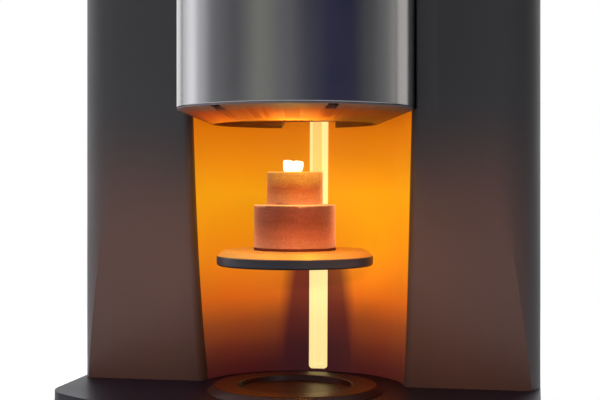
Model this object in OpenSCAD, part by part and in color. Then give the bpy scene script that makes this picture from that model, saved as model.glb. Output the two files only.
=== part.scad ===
// Chairside sintering furnace for dental crowns, with a platform that lifts the work into the chamber.
// X points right, Y points back and Z points up. The origin is on the table, under the middle of the housing.

/* [Housing] */
// Width over the side covers
housing_w = 300; // [294:1:320]
// Depth from the front of the base to the wall buffers
housing_d = 450; // [446:1:470]
// Height over the top cover
housing_h = 570; // [562:1:590]
// Height of the landing floor above the table
floor_h = 64; // [62:0.5:66]
// Wall of the sheet covers and the head
cover_wall = 2.5; // [2:0.1:3]
// Wall of the front wings and the plinth
wing_wall = 3; // [2.5:0.1:3.5]
// Radius of the upright front corners
front_corner_r = 30; // [24:1:34]
// Radius of the long top corners
top_corner_r = 25; // [20:1:30]
// How far the front of the wings bows back towards the floor
bow_depth = 13; // [8:0.5:14]
// How far the seam between the wings and the hood lies behind the chamber axis
seam_setback = 65.5; // [64.5:0.5:66.5]
// Angle of the sloped top above level, in degrees
slope_angle = 50; // [48:0.5:52]
// Gap between neighbouring covers
cover_gap = 0.4; // [0.3:0.05:0.6]

/* [Head] */
// From the front of the base back to the axis of the chamber
axis_setback = 88; // [86:1:92]
// Outer radius of the rounded head
nose_r = 73.2; // [72.9:0.1:73.6]
// How far the underside hangs below the edge of the head
underside_drop = 9.7; // [9:0.1:10.5]
// Radius of the flat middle of the underside
plateau_r = 51.5; // [50.5:0.1:53]
// Depth of the round dish in the underside that takes the loading plate
dish_depth = 3.9; // [3.5:0.1:4.1]
// Gap round the loading plate in the dish
dish_gap = 1.4; // [1:0.1:1.6]
// Radius of the mouth of the chamber
mouth_r = 27.5; // [27.1:0.1:28]
// Width of the rear notch that the mast passes
notch_w = 36; // [30:0.5:38]
// Width of each lamp slot in the underside
lamp_w = 6.8; // [6:0.1:8]
// Length of each lamp slot, measured towards the axis of the chamber
lamp_d = 6; // [5:0.1:7]
// Distance of each lamp slot from the middle plane
lamp_x = 33.5; // [31:0.5:36]

/* [Niche] */
// Height of the open niche, from the floor to the edge of the head
niche_h = 175.1; // [173:0.1:178]
// Radius of the niche wall at the edge of the head
niche_top_r = 71; // [70.7:0.1:71.2]
// Radius of the niche wall at the floor
niche_floor_r = 66.4; // [66:0.1:67]
// How far the middle of the niche wall lies behind the chamber axis
niche_setback = 17; // [16.5:0.1:17.5]
// How far the front of the wings lies behind the chamber axis
wing_setback = 13; // [12:0.1:13.5]
// Depth of the turned in edge of each wing
return_depth = 7; // [5:0.5:9]
// Thickness of the niche liner
liner_wall = 2; // [1.6:0.1:2.4]
// Width of the lit strip
strip_w = 12.6; // [12:0.1:13.5]
// Thickness of the light guide
strip_t = 6; // [5:0.1:7]
// Width of the shallow channel in the light guide
channel_w = 6.6; // [6.4:0.1:7.2]
// Radius of the lower corners of the lit strip
strip_corner_r = 2.5; // [1.5:0.1:3]

/* [Platform] */
// Height of the platform underside above the landing floor at rest
platform_lift = 78; // [70:0.5:85]
// Radius of the round platform
plate_r = 48.6; // [47.5:0.1:50]
// Thickness of the round platform
plate_t = 9.6; // [9:0.1:10.5]
// Width of the bevel round the top of the platform
plate_bevel_w = 5.1; // [4:0.1:6]
// Height of the bevel round the top of the platform
plate_bevel_h = 3.8; // [3:0.1:4.5]
// Thickness of the seat ring under the blocks
seat_t = 1.5; // [1:0.1:2]
// Diameter of the lower firing block
lower_block_d = 50.6; // [49:0.1:51]
// Height of the lower firing block
lower_block_h = 26.6; // [25:0.1:27]
// Diameter of the upper firing block
upper_block_d = 34.8; // [33:0.1:36]
// Height of the upper firing block
upper_block_h = 20.3; // [18:0.1:21]
// Width of the sample crown
crown_w = 12.9; // [9:0.1:13.5]
// Height of the sample crown
crown_h = 7.5; // [6:0.1:8.5]
// Outer radius of the landing ring
landing_r = 55; // [54:0.1:56]
// Height of the landing ring above the floor
landing_h = 4.4; // [4:0.1:4.8]
// Radius of the recess inside the landing ring
recess_r = 35.5; // [33:0.1:38]

/* [Chamber] */
// Inner radius of the susceptor, the hot wall of the chamber
susceptor_r = 21; // [20:0.1:22]
// Height of the susceptor
susceptor_h = 40; // [36:0.5:44]
// Wall of the susceptor
susceptor_wall = 3; // [2.5:0.1:3.5]
// Outer radius of the insulation
insulation_r = 50; // [48:0.5:51]
// Wall of the tube that the coil is wound on
former_wall = 3; // [2.5:0.1:3.5]
// Diameter of the copper tube of the coil
coil_tube_d = 6; // [5:0.1:6.2]
// Turns of the coil
coil_turns = 5.5; // [4.5:1:6.5]
// Wall of the muffle casing
casing_wall = 2; // [1.5:0.1:2.2]

/* [Lift] */
// Width of the mast
mast_w = 6.2; // [5.8:0.1:6.4]
// Thickness of the mast
mast_t = 3.2; // [2.8:0.1:3.4]
// Width of the arm under the platform
arm_w = 9; // [8:0.1:12]
// Diameter of the guide rods
rod_d = 10; // [8:0.5:12]
// Distance between the guide rods
rod_spacing = 56; // [52:1:60]
// Diameter of the lead screw
screw_d = 10; // [8:0.5:10]
// Height of the lift carriage
carriage_h = 30; // [26:1:34]
// Width of the carriage and the bearing blocks
carriage_w = 84; // [80:1:90]
// Height of each bearing block
block_h = 12; // [10:1:14]
// Side of the square stepper motor
motor_w = 42; // [35:1:42]
// Height of the stepper motor
motor_h = 34; // [28:1:40]

/* [Electronics] */
// Width of the touch display
display_w = 108; // [100:1:109]
// Length of the touch display along the slope
display_l = 76; // [70:1:78]
// Width of the power supply
supply_w = 100; // [90:1:105]
// Length of the power supply
supply_l = 160; // [150:1:165]
// Height of the power supply
supply_h = 48; // [40:1:50]
// Width of the generator heat sink
sink_w = 100; // [80:2:110]
// Height of the generator heat sink
sink_h = 45; // [35:1:55]
// Number of fins on the heat sink
sink_fins = 12; // [8:1:14]

/* [Rear] */
// Side of the square rear fan
fan_w = 120; // [110:1:124]
// Depth of the rear fan
fan_t = 25; // [24:1:28]
// Number of fan blades
fan_blades = 7; // [5:1:9]
// Width of the power entry body
entry_w = 56; // [56:1:60]
// Height of the power entry body
entry_h = 42; // [42:1:46]
// Depth of the power entry body behind the cover
entry_d = 30; // [28:1:34]
// Length of each wall buffer
buffer_l = 8; // [7:0.5:10]

/* [Fits] */
// Clearance round a fixed piece in its cutout
fit = 0.2; // [0.15:0.05:0.3]
// Gap between pieces that move past each other
running_gap = 0.3; // [0.3:0.05:0.4]
// Radial clearance of a shaft in its bore
shaft_fit = 0.05; // [0.03:0.01:0.08]

/* [Hidden] */
$fn = 128;

// Feet, pan and plinth
foot_r = 14;
foot_h = 10;
foot_inset = 42;
front_foot_inset = 68;
pan_t = 2;
pan_inset = 1;
pan_top = foot_h + pan_t;
plinth_corner_r = 30;
plinth_front_r = 217.5;
plinth_top = floor_h;
plinth_rear_inset = 6;
front_edge_y = -housing_d / 2;
rear_edge_y = housing_d / 2;
plinth_rear_y = rear_edge_y - plinth_rear_inset;
plinth_front_y = front_edge_y + plinth_front_r;
corner_reach = sqrt(pow(plinth_front_r - plinth_corner_r, 2) - pow(housing_w / 2 - plinth_corner_r, 2));
plinth_corner_y = plinth_front_y - corner_reach;

// Head and wings
axis_y = front_edge_y + axis_setback;
nose_front_y = axis_y - nose_r;
head_z = floor_h + niche_h;
plateau_z = head_z - underside_drop;
ceiling_z = plateau_z + dish_depth;
front_y = axis_y + wing_setback;
seam_y = axis_y + seam_setback;
nose_top_h = housing_h - (seam_y - nose_front_y) * tan(slope_angle);
slope_l = (housing_h - nose_top_h) / sin(slope_angle);
upright_edge = 5.1;
bow_h = niche_h - upright_edge;
bow_r = (bow_h * bow_h + bow_depth * bow_depth) / (2 * bow_depth);
wing_top_z = head_z - fit;
rear_cover_y = rear_edge_y - buffer_l;
hood_rear_y = plinth_rear_y;

// Niche wall
niche_y = axis_y + niche_setback;
niche_flare = (niche_top_r - niche_floor_r) / niche_h;
wall_tilt = atan(niche_flare);
strip_base = 1.6;
strip_l = niche_h - 0.7;
led_t = 1.6;

// Carrier plate and bulkhead
carrier_z = head_z + 0.9;
carrier_t = 4;
carrier_top = carrier_z + carrier_t;
carrier_r = nose_r - cover_wall - fit;
wall_to_bulkhead = 19;
bulkhead_y = niche_y + niche_top_r + wall_to_bulkhead;
bulkhead_t = 2;
bulkhead_rear_y = bulkhead_y + bulkhead_t;
side_room = 10;
top_room = 30;
bulkhead_w = housing_w - 2 * side_room;
bulkhead_top = housing_h - top_room;
frame_t = 2;
frame_rear_y = rear_cover_y - cover_wall;
deck_rise = 56;
deck_z = carrier_top + deck_rise;
deck_t = 2;

// Platform heights at rest
plate_z = floor_h + platform_lift;
plate_top = plate_z + plate_t;
block_z = plate_top + seat_t;
upper_block_z = block_z + lower_block_h;
crown_z = upper_block_z + upper_block_h;
landing_top = floor_h + landing_h;
landing_gap = 0.3;
close_gap = 0.6;
travel_down = plate_z - landing_top - landing_gap;
travel_up = ceiling_z - plate_top - close_gap;

// Chamber heights
neck_z = ceiling_z + cover_wall + fit;
ledge_z = ceiling_z - close_gap + seat_t + lower_block_h + 1.1;
ledge_t = 4;
chamber_z = ledge_z + ledge_t;
jacket_top = chamber_z + susceptor_h + 2;
lid_t = 18;
lid_top = jacket_top + lid_t;
neck_r = 40;
former_r = insulation_r + 1;
coil_steps = 32;
coil_r = (former_r + former_wall + coil_tube_d / 2 + fit) / cos(180 / coil_steps);
casing_inset = 6;
casing_r = carrier_r - casing_inset;
casing_top = lid_top + 8;
coil_pitch = coil_tube_d + 1;
coil_z = (chamber_z + jacket_top - coil_pitch * coil_turns) / 2;
terminal_l = 12;
terminal_y = bulkhead_y - terminal_l;
sight_r = 3;
pyrometer_r = 9;

// Lift
mast_rear_y = niche_y + niche_floor_r - 0.7;
mast_front_y = mast_rear_y - mast_t;
mast_z = plate_z + running_gap;
arm_h = 5.2;
tongue_h = 3.2;
tongue_reach = 40;
screw_to_bulkhead = 12;
lift_y = bulkhead_y - screw_to_bulkhead;
carriage_front_y = lift_y - 10;
carriage_rear_y = bulkhead_y - 1.5;
lower_bearing_z = carrier_top;
stop_gap = 1.7;
carriage_z = lower_bearing_z + block_h + stop_gap + travel_down;
upper_bearing_z = carriage_z + carriage_h + travel_up + 6;
upper_bearing_top = upper_bearing_z + block_h;
bushing_r = rod_d / 2 + 3;
nut_r = screw_d / 2 + 4;
nut_flange_r = nut_r + 4;
nut_flange_t = 3;
journal_r = screw_d / 2 - 1;
coupling_r = 9.5;
coupling_h = 20;
coupling_z = upper_bearing_top + 2;
motor_shaft_r = 2.5;
motor_bracket_t = 3;
motor_z = coupling_z + coupling_h + 4 + motor_bracket_t;
motor_y = lift_y + 2;

// Display on the slope
display_mid = 0.65 * slope_l;
display_lip = 3.4;
display_flange = 4;
display_glass_z = 1;
display_depth = 5.5;
board_t = 1.6;
board_drop = 6.9;

// Rear
fan_rise = 100;
fan_z = deck_z + fan_rise;
fan_bore_r = fan_w / 2 - 3;
fan_hub_r = 20;
fan_front_y = frame_rear_y - fit - fan_t;
fan_shaft_r = 2;
screw_r = 1.5;
screw_head_r = 3.2;
flange_w = 14;
screw_x = bulkhead_w / 2 - flange_w / 2;
entry_x = bulkhead_w / 2 - flange_w - entry_w / 2 - 9;
entry_z = floor_h + 48;
entry_flange = 4;
entry_flange_t = 3;
entry_face_y = rear_cover_y + entry_flange_t;
inlet_x = entry_x - 13.5;
inlet_z = entry_z - 7;
inlet_w = 25;
inlet_h = 17;
inlet_depth = 16.5;
drawer_z = entry_z + 12;
drawer_w = 22;
drawer_h = 8.8;
drawer_l = 27;
rocker_x = entry_x + 18;
rocker_w = 13;
rocker_l = 20;
rocker_tilt = 9;
rocker_y = entry_face_y - 4.5;
buffer_r = 8;
buffer_x = screw_x - screw_head_r - buffer_r - 2;
buffer_heights = [floor_h + 136, bulkhead_top - 30];

// Colours
dark_metal = [0.22, 0.21, 0.22];
silver = [0.55, 0.56, 0.58];
amber = [0.86, 0.52, 0.16];
ceramic = [0.86, 0.62, 0.5];
fibre = [0.92, 0.9, 0.86];
steel = [0.7, 0.71, 0.72];
black = [0.08, 0.08, 0.09];
zinc = [0.62, 0.64, 0.66];
copper = [0.78, 0.48, 0.3];
board_green = [0.1, 0.35, 0.2];

// Height of the slope over a place along Y
function slope_z(y) = nose_top_h + (y - nose_front_y) * tan(slope_angle);

// Radius of the niche wall at a height
function wall_r(z) = niche_floor_r + (z - floor_h) * niche_flare;

// Lays a flat outline drawn as (y, z) along X, centred
module along_x(width) {
    rotate([90, 0, 90]) linear_extrude(width, center = true) children();
}

// Lays a flat outline drawn as (x, z) along Y, between two places
module along_y(from_y, to_y) {
    translate([0, to_y, 0]) rotate([90, 0, 0]) linear_extrude(to_y - from_y) children();
}

// A copy on each side of the middle plane
module both_sides() {
    children();
    mirror([1, 0, 0]) children();
}

// A box from its lowest corner to its highest
module block(low, high) {
    translate(low) cube(high - low);
}

// A tube or disc on the chamber axis
module axis_ring(outer, inner, from_z, to_z) {
    translate([0, axis_y, from_z]) difference() {
        cylinder(r = outer, h = to_z - from_z);
        translate([0, 0, -1]) cylinder(r = inner, h = to_z - from_z + 2);
    }
}

// A solid disc on the chamber axis
module axis_disc(r, from_z, to_z) {
    translate([0, axis_y, from_z]) cylinder(r = r, h = to_z - from_z);
}

// Side outline of the housing, drawn in by inset
module side_outline(inset) {
    slope_run = housing_h / tan(slope_angle);
    foot_z = slope_z(front_y) - inset / cos(slope_angle);
    intersection() {
        union() {
            translate([front_y + inset, floor_h + bow_h]) square([housing_d, housing_h]);
            intersection() {
                translate([front_y + bow_r, floor_h + bow_h]) circle(bow_r - inset, $fn = 512);
                translate([front_y, 0]) square([housing_d, floor_h + bow_h]);
            }
        }
        polygon([
            [front_y - 1, 0],
            [front_y - 1, foot_z - tan(slope_angle)],
            [front_y + slope_run, foot_z + housing_h],
            [housing_d, foot_z + housing_h],
            [housing_d, 0]
        ]);
    }
}

// Front outline of the housing, with its long top corners
module front_outline(inset) {
    r = top_corner_r - inset;
    half_w = housing_w / 2 - inset;
    top = housing_h - inset;
    translate([-half_w, 0]) square([2 * half_w, top - r]);
    translate([r - half_w, 0]) square([2 * (half_w - r), top]);
    for (side = [-1, 1]) translate([side * (half_w - r), top - r]) circle(r);
}

// Plan of the housing, with its upright front corners
module plan_outline(inset) {
    r = front_corner_r - inset;
    half_w = housing_w / 2 - inset;
    translate([-half_w, front_y + inset + r]) square([2 * half_w, housing_d]);
    translate([r - half_w, front_y + inset]) square([2 * (half_w - r), housing_d]);
    for (side = [-1, 1]) translate([side * (half_w - r), front_y + inset + r]) circle(r);
}

// Outer form of the wings and the hood, drawn in by inset
module envelope(inset) {
    intersection() {
        along_x(housing_w) side_outline(inset);
        along_y(-housing_d, housing_d) front_outline(inset);
        linear_extrude(housing_h) plan_outline(inset);
    }
}

// Cone of the niche wall, set out by offset_r
module niche_cone(offset_r, top_z) {
    translate([0, niche_y, floor_h - 1]) cylinder(
        r1 = wall_r(floor_h - 1) + offset_r,
        r2 = wall_r(top_z) + offset_r,
        h = top_z - floor_h + 1
    );
}

// Plan of the plinth, with a bowed front and round corners
module plinth_plan(inset) {
    half_w = housing_w / 2;
    r = plinth_corner_r;
    touch_x = (half_w - r) * plinth_front_r / (plinth_front_r - r);
    translate([inset - half_w, plinth_corner_y]) square([2 * (half_w - inset), plinth_rear_y - inset - plinth_corner_y]);
    intersection() {
        translate([0, plinth_front_y]) circle(plinth_front_r - inset, $fn = 256);
        translate([-touch_x, front_edge_y]) square([2 * touch_x, housing_d / 2]);
    }
    for (side = [-1, 1]) translate([side * (half_w - r), plinth_corner_y]) circle(r - inset);
}

// Feet and base

module rubber_feet() {
    color(black) for (x = [-1, 1], y = [front_edge_y + front_foot_inset, rear_edge_y - foot_inset])
        translate([x * (housing_w / 2 - foot_inset), y, 0]) cylinder(r = foot_r, h = foot_h);
}

module base_pan() {
    color(zinc) translate([0, 0, foot_h]) linear_extrude(pan_t) plinth_plan(pan_inset);
}

module plinth_cover() {
    opening_x = bulkhead_w / 2 + fit;
    color(dark_metal) difference() {
        translate([0, 0, pan_top]) linear_extrude(plinth_top - pan_top) plinth_plan(0);
        translate([0, 0, pan_top - 1]) linear_extrude(plinth_top - pan_top - wing_wall + 1) plinth_plan(wing_wall);
        block([-opening_x, bulkhead_y - 10, pan_top], [opening_x, frame_rear_y + fit, plinth_top + 1]);
    }
}

module landing_ring() {
    recess_depth = 3.7;
    bevel = 4.5;
    color(dark_metal) translate([0, axis_y, floor_h]) rotate_extrude() polygon([
        [0, 0],
        [landing_r, 0],
        [landing_r - bevel, landing_h],
        [recess_r, landing_h],
        [recess_r - 1, landing_h - recess_depth],
        [0, landing_h - recess_depth]
    ]);
}

// Wings, hood and rear

// Space that both wings leave open: the niche below and the head above
module wing_opening() {
    niche_cone(0, head_z);
    block([-wall_r(head_z) - 1, front_y - 1, wing_top_z], [wall_r(head_z) + 1, seam_y, housing_h]);
    block([-nose_r - 1, front_y - 1, wing_top_z], [nose_r + 1, seam_y + 1, housing_h + 1]);
}

// Wall of a wing that turns in round the niche and beside the head
module wing_return() {
    intersection() {
        envelope(0);
        union() {
            difference() {
                niche_cone(wing_wall, wing_top_z);
                along_x(housing_w) side_outline(return_depth);
            }
            block(
                [nose_r + 1, front_y, wing_top_z - wing_wall],
                [nose_r + 1 + wing_wall, seam_y, housing_h]
            );
        }
    }
}

module wing() {
    color(dark_metal) intersection() {
        block([nose_r - 30, front_y - 1, floor_h], [housing_w, seam_y - cover_gap / 2, housing_h]);
        difference() {
            union() {
                difference() {
                    envelope(0);
                    envelope(wing_wall);
                }
                wing_return();
            }
            wing_opening();
        }
    }
}

module right_wing() {
    wing();
}

module left_wing() {
    mirror([1, 0, 0]) wing();
}

module hood() {
    slot_h = 4;
    slot_l = 70;
    slot_pitch = 10;
    slots = 12;
    color(dark_metal) difference() {
        intersection() {
            block([-housing_w, seam_y + cover_gap / 2, floor_h], [housing_w, hood_rear_y, housing_h]);
            difference() {
                envelope(0);
                envelope(cover_wall);
            }
        }
        for (i = [0 : slots - 1])
            block(
                [-housing_w, hood_rear_y - 40 - slot_l, floor_h + 40 + i * slot_pitch],
                [housing_w, hood_rear_y - 40, floor_h + 40 + slot_h + i * slot_pitch]
            );
    }
}

// Places of the screws of the rear cover, as (x, z)
lowest_screw_z = floor_h + flange_w;
highest_screw_z = bulkhead_top - flange_w;
screw_heights = [lowest_screw_z, (lowest_screw_z + highest_screw_z) / 2, highest_screw_z];
screw_places = [for (x = [-screw_x, screw_x], z = screw_heights) [x, z]];

module at_screws() {
    for (p = screw_places) translate([p[0], 0, p[1]]) rotate([-90, 0, 0]) children();
}

module rear_cover() {
    color(dark_metal) difference() {
        intersection() {
            block([-housing_w, frame_rear_y, floor_h], [housing_w, rear_cover_y, housing_h]);
            along_y(-housing_d, housing_d) front_outline(cover_wall + fit);
        }
        translate([0, 0, fan_z]) rotate([-90, 0, 0]) cylinder(r = fan_bore_r, h = housing_d);
        block(
            [entry_x - entry_w / 2 - fit, 0, entry_z - entry_h / 2 - fit],
            [entry_x + entry_w / 2 + fit, housing_d, entry_z + entry_h / 2 + fit]
        );
        at_screws() cylinder(r = screw_r + fit, h = housing_d);
    }
}

module cover_screws() {
    head_t = 2.2;
    slot_w = 0.8;
    color(zinc) at_screws() {
        translate([0, 0, rear_cover_y]) difference() {
            cylinder(r = screw_head_r, h = head_t);
            translate([0, 0, head_t]) cube([2 * screw_head_r + 1, slot_w, 2], center = true);
        }
        translate([0, 0, frame_rear_y - 5]) cylinder(r = screw_r, h = rear_cover_y - frame_rear_y + 5);
    }
}

module wall_buffers() {
    color(black) for (x = [-buffer_x, buffer_x], z = buffer_heights)
        translate([x, rear_cover_y, z]) rotate([-90, 0, 0]) {
            cylinder(r = buffer_r, h = buffer_l - 2);
            translate([0, 0, buffer_l - 2]) cylinder(r1 = buffer_r, r2 = buffer_r - 2, h = 2);
        }
}

// Niche

// Frame that leans with the back of the niche wall, with the wall face at y 0
module on_wall() {
    translate([0, niche_y + niche_floor_r, floor_h]) rotate([-wall_tilt, 0, 0]) children();
}

// Face of the lit strip, as (x, z)
module strip_face(grow) {
    half_w = strip_w / 2 + grow;
    r = strip_corner_r;
    base = strip_base - grow;
    translate([-half_w, base + r]) square([2 * half_w, strip_l]);
    translate([r - half_w, base]) square([2 * (half_w - r), strip_l]);
    for (side = [-1, 1]) translate([side * (half_w - r), base + r]) circle(r);
}

// Side outline of the liner, which starts behind the turned in edge of the wings
module liner_outline() {
    start = return_depth + fit;
    intersection() {
        translate([front_y, floor_h]) square([housing_d / 2, wing_top_z - floor_h]);
        translate([front_y + bow_r, floor_h + bow_h]) circle(bow_r - start, $fn = 512);
    }
}

module niche_liner() {
    color(amber) difference() {
        intersection() {
            translate([0, niche_y, 0]) rotate_extrude() polygon([
                [wall_r(floor_h), floor_h],
                [wall_r(floor_h) + liner_wall, floor_h],
                [wall_r(wing_top_z) + liner_wall, wing_top_z],
                [wall_r(wing_top_z), wing_top_z]
            ]);
            along_x(housing_w) liner_outline();
        }
        on_wall() along_y(-10, 10) strip_face(fit);
    }
}

module light_guide() {
    channel_t = 1;
    color([1, 0.93, 0.7]) on_wall() difference() {
        intersection() {
            along_y(0, strip_t) strip_face(0);
            block([-strip_w, -1, 0], [strip_w, strip_t + 1, strip_l]);
        }
        along_y(-1, channel_t) translate([-channel_w / 2, strip_base + 3]) square([channel_w, strip_l]);
    }
}

module led_board() {
    color([0.9, 0.9, 0.85]) on_wall()
        block([0.5 - strip_w / 2, strip_t, 4], [strip_w / 2 - 0.5, strip_t + led_t, strip_l - 3]);
}

// Places of the two lamp slots at the front edge of the underside
lamp_rim = 0.6;
lamp_r = nose_r - fit - lamp_rim - lamp_d / 2;
lamp_turn = asin(lamp_x / lamp_r);

// Frame of each slot, with the chamber axis towards +Y
module at_lamps() {
    translate([0, axis_y, 0]) for (side = [-1, 1])
        rotate([0, 0, side * lamp_turn]) translate([0, -lamp_r, 0]) children();
}

module niche_lamps() {
    face_z = plateau_z + underside_drop * (lamp_r - plateau_r) / (nose_r - plateau_r);
    color([1, 0.8, 0.4]) at_lamps()
        block([fit - lamp_w / 2, 0, face_z], [lamp_w / 2 - fit, lamp_d / 2 - fit, carrier_z]);
}

// Head

// Slope of the head: y runs up the slope and z points out of it
module on_slope() {
    translate([0, nose_front_y, nose_top_h]) rotate([slope_angle, 0, 0]) children();
}

// Solid form of the head, drawn in by inset, from a lowest height back to a place along Y
module head_form(inset, bottom, back_y) {
    r = nose_r - inset;
    intersection() {
        translate([0, 0, bottom]) linear_extrude(housing_h - bottom) {
            intersection() {
                translate([0, axis_y]) circle(r);
                translate([-r, axis_y - r]) square([2 * r, r + 1]);
            }
            translate([-r, axis_y]) square([2 * r, back_y - axis_y]);
        }
        on_slope() block([-housing_w, -housing_h, -housing_h], [housing_w, housing_h, -inset]);
    }
}

// Half width and half length of the display cutout
cutout_x = display_w / 2 + display_lip;
cutout_y = display_l / 2 + display_lip;

module head_cover() {
    color(silver) difference() {
        head_form(0, head_z, seam_y - cover_gap / 2);
        head_form(cover_wall, head_z - 1, seam_y);
        on_slope() translate([0, display_mid, 0])
            block([-cutout_x, -cutout_y, -10], [cutout_x, cutout_y, 10]);
    }
}

module head_underside() {
    edge_r = nose_r - fit;
    edge_z = head_z - fit / 2;
    edge_t = 0.8;
    dish_r = plate_r + dish_gap;
    color(silver) difference() {
        translate([0, axis_y, 0]) rotate_extrude() polygon([
            [mouth_r, ceiling_z],
            [dish_r, ceiling_z],
            [dish_r, plateau_z],
            [plateau_r, plateau_z],
            [edge_r, edge_z - edge_t],
            [edge_r, edge_z],
            [carrier_r, edge_z],
            [carrier_r, carrier_z],
            [carrier_r - 2, carrier_z],
            [plateau_r - 1, ceiling_z + cover_wall],
            [mouth_r, ceiling_z + cover_wall]
        ]);
        difference() {
            block([-housing_w, front_y - 0.5, 0], [housing_w, housing_d, housing_h]);
            translate([0, niche_y, 0]) cylinder(r = niche_top_r - running_gap, h = housing_h);
        }
        block([-notch_w / 2, axis_y + plateau_r - 6, 0], [notch_w / 2, housing_d, housing_h]);
        at_lamps() block([-lamp_w / 2, -lamp_d / 2, 0], [lamp_w / 2, lamp_d / 2, housing_h]);
    }
}

module carrier_plate() {
    flange_h = 8;
    slot_w = mast_w + 4 * running_gap;
    color(steel) difference() {
        union() {
            translate([0, 0, carrier_z]) linear_extrude(carrier_t) {
                translate([0, axis_y]) circle(carrier_r);
                translate([-carrier_r, axis_y]) square([2 * carrier_r, bulkhead_y - axis_y]);
            }
            both_sides() block(
                [carriage_w / 2 + 2, bulkhead_y - carrier_t, carrier_z],
                [carrier_r, bulkhead_y, carrier_top + flange_h]
            );
        }
        translate([0, axis_y, 0]) cylinder(r = neck_r + fit, h = housing_h);
        block([-slot_w / 2, mast_front_y - running_gap, 0], [slot_w / 2, mast_rear_y + running_gap, housing_h]);
    }
}

module display_frame() {
    post_r = 2.5;
    color(black) on_slope() translate([0, display_mid, 0]) difference() {
        union() {
            block([fit - cutout_x, fit - cutout_y, -cover_wall], [cutout_x - fit, cutout_y - fit, -0.5]);
            block(
                [-cutout_x - display_flange, -cutout_y - display_flange, -display_depth],
                [cutout_x + display_flange, cutout_y + display_flange, -cover_wall]
            );
            for (x = [-1, 1], y = [-1, 1])
                translate([x * (cutout_x + 1), y * (cutout_y + 1), -display_depth - board_drop])
                    cylinder(r = post_r, h = board_drop + 1);
        }
        block([-display_w / 2 - fit, -display_l / 2 - fit, -20], [display_w / 2 + fit, display_l / 2 + fit, 5]);
    }
}

module touch_display() {
    color([0.03, 0.03, 0.04]) on_slope() translate([0, display_mid, 0]) block(
        [-display_w / 2, -display_l / 2, -display_depth - 1],
        [display_w / 2, display_l / 2, -display_glass_z]
    );
}

module control_board() {
    top = -display_depth - board_drop;
    color(board_green) on_slope() translate([0, display_mid, 0]) {
        block([-cutout_x - 3, -cutout_y - 3, top - board_t], [cutout_x + 3, cutout_y + 3, top]);
        block([-20, -15, top], [20, 15, top + 3]);
        block([30, -25, top], [48, 5, top + 4]);
    }
}

// Firing chamber

module mouth_insulation() {
    bore_r = mouth_r + 0.4;
    color(fibre) {
        axis_ring(neck_r, bore_r, neck_z, carrier_top + 1);
        axis_ring(insulation_r, bore_r, carrier_top, ledge_z);
        axis_ring(insulation_r, susceptor_r - 1.5, ledge_z, chamber_z);
    }
}

module jacket_insulation() {
    color(fibre) axis_ring(insulation_r, susceptor_r + susceptor_wall + running_gap, chamber_z, jacket_top);
}

module lid_insulation() {
    color(fibre) axis_ring(insulation_r, sight_r, jacket_top, lid_top);
}

module susceptor() {
    color([0.3, 0.3, 0.32]) axis_ring(susceptor_r + susceptor_wall, susceptor_r, chamber_z, chamber_z + susceptor_h);
}

module coil_former() {
    color([0.85, 0.8, 0.7]) axis_ring(former_r + former_wall, former_r, carrier_top, lid_top - 2);
}

// Path of the coil tube: in from the back, round the chamber and out again
coil_path = concat(
    [[-coil_r, terminal_y, coil_z]],
    [for (i = [0 : coil_steps * coil_turns]) let (a = 180 + 360 * i / coil_steps)
        [coil_r * cos(a), axis_y + coil_r * sin(a), coil_z + coil_pitch * i / coil_steps]],
    [[coil_r, terminal_y, coil_z + coil_pitch * coil_turns]]
);

// Ring of points round a path point, square to the way the path runs there
function tube_ring(path, i, r, sides) =
    let (
        last = len(path) - 1,
        way = path[min(i + 1, last)] - path[max(i - 1, 0)],
        t = way / norm(way),
        side = cross(t, [0, 0, 1]) / norm(cross(t, [0, 0, 1])),
        up = cross(side, t)
    )
    [for (k = [0 : sides - 1]) path[i] + r * (cos(360 * k / sides) * side + sin(360 * k / sides) * up)];

// Round tube along a path, closed at both ends
module tube_along(path, r, sides) {
    count = len(path);
    points = [for (i = [0 : count - 1]) each tube_ring(path, i, r, sides)];
    walls = [
        for (i = [0 : count - 2], k = [0 : sides - 1])
            let (a = i * sides + k, b = i * sides + (k + 1) % sides)
            each [[a, b, b + sides], [a, b + sides, a + sides]]
    ];
    first_end = [for (k = [1 : sides - 2]) [0, k + 1, k]];
    far = (count - 1) * sides;
    last_end = [for (k = [1 : sides - 2]) [far, far + k, far + k + 1]];
    polyhedron(points, concat(walls, first_end, last_end));
}

module induction_coil() {
    color(copper) tube_along(coil_path, coil_tube_d / 2, 8);
}

module coil_terminals() {
    half = coil_tube_d / 2 + 5;
    color(copper) for (end = [[-coil_r, coil_z], [coil_r, coil_z + coil_pitch * coil_turns]]) block(
        [end[0] - half, terminal_y, end[1] - half],
        [end[0] + half, bulkhead_y, end[1] + half]
    );
}

module muffle_casing() {
    lead_gap = coil_tube_d / 2 + 3;
    color(zinc) difference() {
        union() {
            axis_ring(casing_r + casing_wall, casing_r, carrier_top, casing_top);
            axis_ring(casing_r + casing_wall, pyrometer_r + fit, casing_top - casing_wall, casing_top);
        }
        for (end = [[-coil_r, coil_z], [coil_r, coil_z + coil_pitch * coil_turns]]) block(
            [end[0] - lead_gap, axis_y, end[1] - lead_gap],
            [end[0] + lead_gap, 0, end[1] + lead_gap]
        );
    }
}

module pyrometer() {
    body_h = 36;
    color(steel) translate([0, axis_y, 0]) difference() {
        union() {
            translate([0, 0, lid_top + 1]) cylinder(r = pyrometer_r, h = body_h);
            translate([0, 0, casing_top]) cylinder(r = pyrometer_r + 5, h = 3);
        }
        translate([0, 0, lid_top]) cylinder(r = sight_r, h = 12);
    }
}

// Chassis

module bulkhead() {
    color(zinc) block(
        [-bulkhead_w / 2, bulkhead_y, pan_top],
        [bulkhead_w / 2, bulkhead_rear_y, bulkhead_top]
    );
}

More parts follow.
